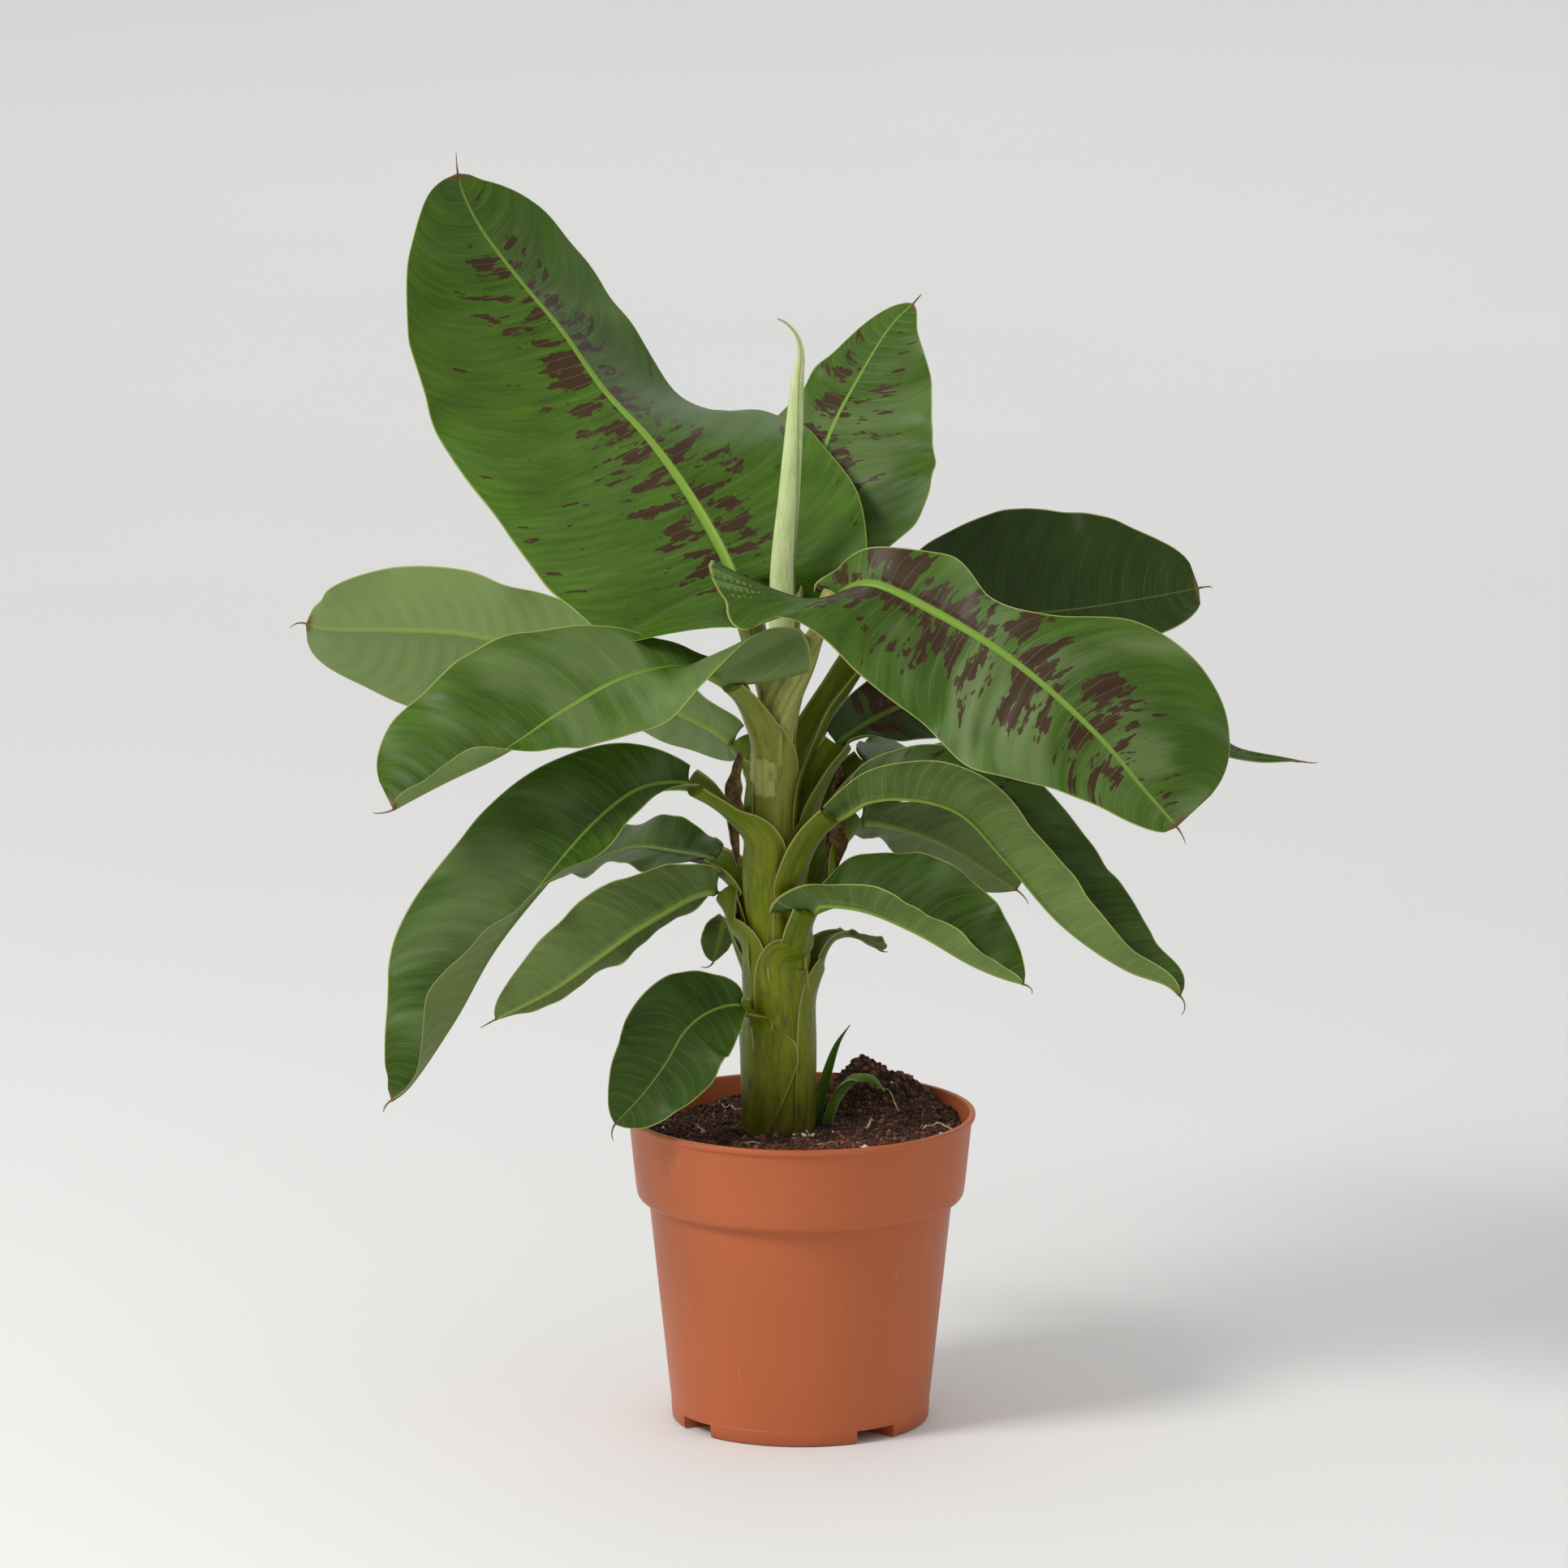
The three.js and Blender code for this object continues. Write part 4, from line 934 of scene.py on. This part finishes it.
class Finish:
    """A Principled material put together from nodes, with a colour that is painted over step by step."""

    def __init__(self, name, rough, specular=0.5):
        self.material = bpy.data.materials.new(name)
        self.material.use_nodes = True
        self.tree = self.material.node_tree
        self.shader = next(n for n in self.tree.nodes if n.type == "BSDF_PRINCIPLED")
        self.shader.inputs["Roughness"].default_value = rough
        self.shader.inputs["Specular IOR Level"].default_value = specular

    def feed(self, socket, value):
        """A wire or a plain value into a socket."""
        if isinstance(value, Wire):
            self.tree.links.new(value.socket, socket)
        else:
            socket.default_value = value

    def node(self, kind, inputs, output=0, **settings):
        made = self.tree.nodes.new("ShaderNode" + kind)
        for key, value in settings.items():
            setattr(made, key, value)
        for key, value in inputs.items():
            self.feed(made.inputs[key], value)
        return Wire(self, made.outputs[output])

    def do(self, operation, a, b=0.0, c=0.0, clamp=False):
        return self.node("Math", {0: a, 1: b, 2: c}, operation=operation, use_clamp=clamp)

    def parts(self, vector):
        first = self.node("SeparateXYZ", {0: vector})
        return [Wire(self, socket) for socket in first.socket.node.outputs]

    def read(self, name):
        """The three parts of a named vector on the mesh."""
        return self.parts(self.node("Attribute", {}, "Vector", attribute_name=name))

    def vector(self, x, y, z=0.0):
        return self.node("CombineXYZ", {0: x, 1: y, 2: z})

    def place(self):
        return self.node("TexCoord", {}, "Object")

    def noise(self, vector, scale, detail=3.0, rough=0.5):
        return self.node("TexNoise", {"Vector": vector, "Scale": scale, "Detail": detail, "Roughness": rough})

    def step(self, low, high, x, start=0.0, end=1.0):
        """A smoothstep of x from start at low to end at high."""
        inputs = {"Value": x, "From Min": low, "From Max": high, "To Min": start, "To Max": end}
        return self.node("MapRange", inputs, interpolation_type="SMOOTHSTEP")

    def blend(self, share, a, b):
        return self.node("Mix", {0: share, 6: a, 7: b}, 2, data_type="RGBA")

    def ground(self, share, a, b):
        """The first colour, between two given in screen values."""
        self.base = self.blend(share, colour(*a), colour(*b))

    def paint(self, share, *shade):
        """A colour in screen values, over the colour so far."""
        self.base = self.blend(share, self.base, colour(*shade))

    def lines(self, x, spacing, width):
        """1 on thin lines at equal steps of x and 0 between them."""
        share = self.do("PINGPONG", self.do("DIVIDE", x, spacing), 0.5)
        return self.step(width, 0.0, share)

    def finish(self, rough=None, height=None, distance=0.0003, strength=1.0):
        """Joins the colour, a roughness and a bump height in metres to the shader."""
        self.feed(self.shader.inputs["Base Color"], self.base)
        if rough is not None:
            self.feed(self.shader.inputs["Roughness"], rough)
        if height is not None:
            bump = self.node("Bump", {"Height": height, "Distance": distance, "Strength": strength})
            self.feed(self.shader.inputs["Normal"], bump)
        return self.material


def upper_leaf():
    """Glossy green: cross veins in two sizes, streaks of tone along them, maroon blotches by the midrib, a pale
    midrib and margin, and a brown tip. Painted light and shade make each half lighter or darker for how lit it is,
    with a lighter rim and paler veins on lit halves, and a painted grey sheen lies over it in patches."""
    f = Finish("leaf_upper", 0.42, 0.2)
    q, x, s = f.read("vein_place")
    rib_half, edge, painted_sheen = f.read("leaf_edge")
    painted_light, blotch, odd = f.read("leaf_tone")
    out = f.do("ABSOLUTE", x)
    streak = f.noise(f.vector(q, x * 0.12, odd * 7.0), 2.6, 4.0, 0.6)
    cloud = f.noise(f.vector(q, x, odd), 0.35, 2.0)
    green = f.blend(f.step(0.3, 0.72, streak), colour(27, 45, 2), colour(38, 60, 5))
    light = f.blend(f.step(0.3, 0.72, streak), colour(56, 90, 5), colour(74, 110, 12))
    # Painted light: lit halves are painted lighter, and lighter still towards the rim where light shines through, and
    # shaded halves darker.
    rim_light = f.step(30.0, 4.0, edge) * (painted_light * 0.35)
    share = cloud * 0.6 + (painted_light - 0.4)
    share = f.do("ADD", share, rim_light, clamp=True)
    f.base = f.blend(share, green, light)
    # Painted sheen: pale grey-green patches painted in place of the light's reflection on the upper face.
    sheen_patches = f.noise(f.vector(q, x * 0.5, odd), 0.3, 2.0)
    f.paint(f.step(0.4, 0.68, sheen_patches, 0.05, 0.85) * painted_sheen, 118, 136, 88)
    wobble = q + f.noise(f.vector(q, x, odd), 0.8, 1.0) * 0.25
    major = f.lines(wobble, 0.7, 0.045)
    fine = f.lines(wobble, 0.12, 0.5)
    f.paint(fine * 0.07, 120, 150, 70)
    spots = f.noise(f.vector(q, x * 0.34, odd), 1.15, 3.0, 0.6)
    near = f.step(0.1, 0.9, out, 0.58, 0.56)
    far = f.step(1.4, 5.5, out, 0.0, 0.16)
    ends = f.step(0.75, 1.0, s, 0.0, 0.2) + f.step(0.1, 0.0, s, 0.0, 0.1)
    limit = near + far + ends
    spots = spots + blotch * 0.1 - limit
    spots = f.step(0.0, 0.03, spots) * f.step(0.05, 0.2, blotch)
    f.paint(spots * 0.88, 58, 26, 20)
    # Painted shade: the pale veins and midrib fade on shaded halves.
    lit = f.step(0.0, 0.45, painted_light, 0.3, 1.0)
    veins = major * f.step(5.0, 0.5, out, 0.08, 0.3) * lit
    f.paint(veins, 140, 156, 92)
    rib = f.step(rib_half, rib_half * 0.6, out) * lit
    f.base = f.blend(rib, f.base, f.blend(f.step(0.1, 1.0, s), colour(126, 160, 60), colour(112, 142, 56)))
    rim = f.step(0.9, 0.4, edge)
    f.paint(rim * 0.75, 164, 172, 92)
    tip = f.step(0.98, 0.998, s) * f.step(1.2, 0.4, out)
    f.paint(tip, 104, 84, 42)
    specks = f.step(0.72, 0.78, f.noise(f.vector(q, x, odd), 9.0, 2.0))
    f.paint(specks * 0.35, 150, 160, 120)
    rough = f.step(0.2, 0.8, streak, 0.38, 0.5)
    height = major * -0.5 + fine * -0.16 + streak * 0.35
    return f.finish(rough, height, 0.0002, 0.8)


def under_leaf():
    """Matte pale grey-green: raised cross veins and a yellow-green ridge for the midrib, with painted shade darker
    towards the stalk and painted light paler on lit leaves.
    """
    f = Finish("leaf_under", 0.62, 0.2)
    q, x, s = f.read("vein_place")
    rib_half, edge, _ = f.read("leaf_edge")
    painted_light, _, odd = f.read("leaf_tone")
    out = f.do("ABSOLUTE", x)
    streak = f.noise(f.vector(q, x * 0.25, odd), 1.4, 4.0, 0.6)
    f.ground(f.step(0.25, 0.75, streak), (56, 76, 20), (80, 102, 40))
    # Painted shade: the underside is darker towards the stalk, where other leaves shade it, and paler towards the
    # tip.
    f.paint(f.step(0.2, 0.75, s, 0.0, 0.55), 112, 134, 72)
    # Painted light: lit undersides are painted paler.
    f.paint(f.step(0.3, 0.9, painted_light, 0.0, 0.8), 136, 162, 98)
    major = f.lines(q, 0.7, 0.08)
    fine = f.lines(q, 0.12, 0.5)
    f.paint(major * 0.14, 160, 172, 120)
    f.paint(fine * 0.06, 150, 165, 112)
    rib = f.step(rib_half, rib_half * 0.4, out)
    f.paint(rib * 0.8, 124, 148, 56)
    f.paint(f.step(0.9, 0.4, edge) * 0.8, 164, 172, 92)
    tip = f.step(0.98, 0.998, s) * f.step(1.2, 0.4, out)
    f.paint(tip, 104, 84, 42)
    height = major * 0.6 + fine * 0.2
    return f.finish(None, height, 0.0002, 0.7)


def dry_brown():
    """Dead leaf: brown and straw, streaked and rough."""
    f = Finish("dry_brown", 0.8)
    streak = f.noise(f.place(), 260.0, 4.0, 0.65)
    f.ground(f.step(0.3, 0.7, streak), (74, 48, 26), (150, 118, 72))
    return f.finish(None, streak, 0.0006)


def stalk_skin():
    """Sheaths and stalks: yellow-green with fine fibres along it, brown-purple stains, dark specks and a pale dry
    margin."""
    f = Finish("stalk_skin", 0.42, 0.18)
    arc, along, opened = f.read("stalk_place")
    edge, _, pale = f.read("stalk_edge")
    fibre = f.noise(f.vector(arc, along * 0.06), 14.0, 3.0, 0.6)
    broad = f.noise(f.vector(arc, along * 0.35), 1.0, 3.0)
    f.ground(f.step(0.3, 0.7, fibre), (94, 106, 4), (120, 136, 10))
    f.paint(f.step(0.35, 0.7, broad, 0.0, 0.5), 140, 144, 40)
    f.paint(opened * 0.5, 72, 98, 16)
    f.paint(pale * 0.85, 190, 190, 112)
    stripe = f.noise(f.vector(arc, along * 0.03, 7.0), 1.6, 2.0)
    f.paint(f.step(0.45, 0.7, stripe, 0.0, 0.5), 64, 76, 8)
    stain = f.noise(f.vector(arc, along * 0.3, 4.0), 1.7, 4.0, 0.65)
    stain = f.step(0.52, 0.7, stain) * f.do("MULTIPLY_ADD", opened, -0.6, 0.6)
    f.paint(stain, 86, 62, 40)
    specks = f.step(0.68, 0.74, f.noise(f.vector(arc, along * 0.6, 9.0), 11.0, 1.0))
    f.paint(specks * 0.6, 58, 40, 22)
    height_cm = f.parts(f.place())[2]
    low = broad * 0.04 + height_cm
    f.paint(f.step(0.25, 0.195, low, 0.0, 0.75), 70, 54, 18)
    loose = f.step(-7.0, -2.0, along, 0.1, 1.0)
    f.paint(f.step(1.3, 0.5, edge, 0.0, 0.75) * loose, 178, 172, 104)
    f.paint(f.step(0.6, 0.2, edge, 0.0, 0.4) * loose, 126, 96, 60)
    height = fibre + broad * 0.6
    return f.finish(f.step(0.2, 0.8, broad, 0.34, 0.5), height, 0.0004, 0.7)


def shoot_green():
    """A side shoot's leaf: fresh green with fine lines along it, darker at the foot, and a pale margin."""
    f = Finish("shoot_green", 0.5, 0.25)
    arc, along, _ = f.read("stalk_place")
    edge = f.read("stalk_edge")[0]
    lines = f.noise(f.vector(arc, along * 0.04), 14.0, 3.0, 0.6)
    f.ground(f.step(0.3, 0.7, lines), (58, 88, 18), (92, 124, 40))
    f.paint(f.step(1.4, 0.2, along, 0.0, 0.5), 44, 60, 14)
    f.paint(f.step(1.6, 0.4, edge, 0.0, 0.6), 150, 168, 92)
    return f.finish(None, lines, 0.0002, 0.6)


def young_green():
    """The rolled leaf: very pale green, with close lines along it and a paler loose edge."""
    f = Finish("young_green", 0.5)
    arc, along, edge = f.read("stalk_place")
    lines = f.noise(f.vector(arc, along * 0.04), 18.0, 3.0, 0.6)
    broad = f.noise(f.vector(arc, along * 0.3), 1.2, 2.0)
    f.ground(f.step(0.3, 0.7, lines), (172, 190, 120), (206, 216, 164))
    f.paint(f.step(0.4, 0.75, broad, 0.0, 0.5), 150, 176, 92)
    f.paint(f.step(1.3, 0.4, edge, 0.0, 0.8), 128, 132, 70)
    return f.finish(None, lines, 0.0002, 0.6)


def pot_plastic():
    """Satin terracotta plastic: faint clouds, fine moulding grain and upright scuffs, with painted shade at the foot
    and on the inner wall just above the compost.
    """
    f = Finish("pot_plastic", 0.42, 0.3)
    place = f.place()
    x, y, z = f.parts(place)
    cloud = f.noise(place, 14.0, 3.0)
    grain_fine = f.noise(place, 900.0, 2.0)
    f.ground(f.step(0.3, 0.7, cloud), (178, 93, 52), (182, 97, 56))
    arc = f.do("ARCTAN2", y, x)
    scuff = f.noise(f.vector(arc * 0.09, y, z * 0.12), 260.0, 3.0, 0.7)
    scuff = f.step(0.64, 0.8, scuff)
    f.paint(scuff * 0.3, 214, 150, 120)
    # Painted shade: the pot is painted darker over its lowest 12 mm, where it meets the floor.
    low = f.step(0.012, 0.0, z)
    f.paint(low * 0.4, 140, 74, 48)
    inner = f.read("pot_place")[2]
    # Painted shade: the inner wall is painted darker just above the compost, down in the pot under the rim.
    painted_inner_shade = f.step(0.188, 0.178, z) * inner
    painted_inner_shade = painted_inner_shade * f.step(0.14, 0.15, z)
    f.paint(painted_inner_shade * 0.55, 92, 46, 28)
    rough = f.step(0.25, 0.75, cloud, 0.36, 0.5)
    height = grain_fine * 0.25 + cloud * 1.0
    return f.finish(rough, height, 0.0002, 0.5)


def compost_dark():
    """Damp compost: near black to brown in lumps of three sizes, with painted light making the front lighter."""
    f = Finish("compost_dark", 0.9)
    place = f.place()
    lumps = f.noise(place, 240.0, 5.0, 0.7)
    broad = f.noise(place, 45.0, 3.0)
    f.ground(f.step(0.35, 0.7, lumps), (22, 13, 7), (74, 44, 27))
    f.paint(f.step(0.5, 0.75, broad, 0.0, 0.6), 96, 56, 36)
    # Painted light: the compost is painted lighter at the front, where the light falls on it.
    front = f.step(-0.03, -0.085, f.parts(place)[1], 0.0, 0.6)
    f.paint(front, 124, 72, 50)
    return f.finish(None, lumps, 0.002)


def crumb_finish():
    """Loose crumbs: each has one tone from near black through reddish brown to tan, with painted light making those
    at the front lighter.
    """
    f = Finish("crumb_finish", 0.9)
    tone = f.node("Attribute", {}, "Fac", attribute_name="tone")
    fleck = f.noise(f.place(), 700.0, 3.0)
    f.ground(f.step(0.0, 0.6, tone), (24, 14, 8), (78, 44, 28))
    f.paint(f.step(0.6, 0.95, tone), 136, 86, 58)
    # Painted light: crumbs at the front are painted lighter, where the light falls on them.
    front = f.step(-0.03, -0.085, f.parts(f.place())[1], 0.0, 0.55)
    f.paint(front, 136, 80, 56)
    f.paint(f.step(0.4, 0.7, fleck, 0.0, 0.35), 40, 24, 14)
    return f.finish(None, fleck, 0.0006)


def white_grit():
    """Perlite: off-white and pitted."""
    f = Finish("white_grit", 0.85)
    fleck = f.noise(f.place(), 900.0, 3.0)
    f.ground(f.step(0.35, 0.65, fleck), (196, 190, 176), (232, 230, 222))
    return f.finish(None, fleck, 0.0005)


def root_pale():
    """Pale roots: cream and tan along their length."""
    f = Finish("root_pale", 0.7)
    fleck = f.noise(f.place(), 300.0, 3.0)
    f.ground(f.step(0.35, 0.65, fleck), (150, 112, 76), (206, 178, 140))
    return f.finish(None, fleck, 0.0003)


def floor_paint():
    """Pale studio paper with the faintest change of tone."""
    f = Finish("floor_paint", 0.85)
    cloud = f.noise(f.place(), 1.3, 2.0)
    f.ground(cloud, (232, 232, 231), (236, 236, 235))
    return f.finish()


# ---------------------------------------------------------------- the plant


def build_plant():
    """The leaves with their stalks, the stem, the young leaf, the shoots and the dead sheaths."""
    upper, under, dry, skin, fresh = upper_leaf(), under_leaf(), dry_brown(), stalk_skin(), shoot_green()
    for order, given in enumerate(LEAVES):
        leaf = {**PLAIN, **given}
        name = leaf["name"]
        sheet, end = blade(leaf, 100 + order)
        n = len(sheet.points)
        odd = (order * 2.37) % 5
        k = sheet.values["leaf_edge"][:, 2:3]
        pick = lambda pair: pair[0] * (1 - k) + pair[1] * k
        # The third part of leaf_edge carries the strength of the painted sheen.
        sheet.values["leaf_edge"][:, 2] = leaf["painted_sheen"]
        # The first tone is painted light and shade: how lit each half is painted.
        tones = [pick(leaf["painted_light"]), pick(leaf["blotch"]), np.full((n, 1), odd)]
        sheet.values["leaf_tone"] = np.concatenate(tones, 1)
        sheets = [sheet]
        if leaf["thread"]:
            curl = thread(*end, leaf["thread"], 0.75, 300 + order)
            curl.material = np.full(len(curl.faces), 2)
            sheets.append(curl)
        piece(name + "_blade", joined(sheets), [upper, under, dry], [name])
        piece(name + "_sheath", stalk(leaf), [skin], [name + "_stalk"], sharp=50)
    piece("stem_core", pseudostem(), [skin], ["stem"])
    piece("rolled_young_leaf", rolled_leaf(), [young_green()], ["leaf_rolled"], sharp=60)
    for name, points, widths, fold, seed in SHOOTS:
        piece(name + "_leaf", shoot(points, widths, fold, seed), [fresh], [name], sharp=60)
    for name, points, widths, turn, seed in DRY_SHEATHS:
        piece(name + "_scrap", dry_scrap(points, widths, turn, seed), [dry], [name], sharp=60)


def build_pot():
    """The pot, its compost, and the crumbs, grit and roots that lie on it."""
    piece("grow_pot", grow_pot(), [pot_plastic()], ["pot"], sharp=35)
    piece("compost", compost(), [compost_dark()], ["soil"])
    loose = crumb_finish()
    piece("compost_crumbs", crumbs(8500, 0.45, 2.2, 0.6, 21), [loose], [])
    heap = crumbs(1500, 0.6, 3.0, 0.6, 22, where=(44, 61, 16))
    piece("compost_crumbs_fine", joined([crumbs(6500, 0.35, 1.2, 0.6, 24), heap]), [loose], [])
    grit = joined([crumbs(26, 1.0, 2.2, 0.8, 23), crumbs(14, 0.9, 2.0, 0.8, 25, where=(4, -36, 10))])
    piece("perlite", grit, [white_grit()], [], sharp=60)
    fibres = [fibre(row[:3], *row[3:], n) for n, row in enumerate(ROOTS)]
    piece("root_fibres", joined(fibres), [root_pale()], [])


def build_studio():
    """A flat floor, wide enough for every view, the lights and the camera."""
    left, right, front, back, z = -12, 12, -12, 14, -0.00002
    mesh = bpy.data.meshes.new("studio_sheet")
    corners = [(left, front, z), (right, front, z), (left, back, z), (right, back, z)]
    mesh.from_pydata(corners, [], grid_faces(2, 2).tolist())
    mesh.materials.append(floor_paint())
    placed("studio_sheet", mesh)

    for name, place, target, size, power, tint in LIGHTS:
        data = bpy.data.lights.new(name, "AREA")
        data.shape = "DISK"
        data.size, data.energy, data.color = size, power, tint
        lamp = placed(name, data)
        lamp.location = place
        aim = unit(np.array(place) - np.array(target))
        lamp.rotation_euler = (math.acos(aim[2]), 0, math.atan2(aim[1], aim[0]) + math.pi / 2)

    world = bpy.data.worlds.new("studio")
    world.use_nodes = True
    sky = world.node_tree.nodes["Background"]
    sky.inputs[0].default_value = (1, 1, 1, 1)
    sky.inputs[1].default_value = SKY
    bpy.context.scene.world = world

    lens = bpy.data.cameras.new("camera")
    lens.sensor_width, lens.lens = 36, LENS
    lens.clip_end = 50
    camera = placed("camera", lens)
    camera.location = CAMERA_PLACE
    camera.rotation_euler = (math.radians(CAMERA_TILT), 0, 0)
    bpy.context.scene.camera = camera
    bpy.context.scene.view_settings.view_transform = "Standard"


build_plant()
build_pot()
build_studio()
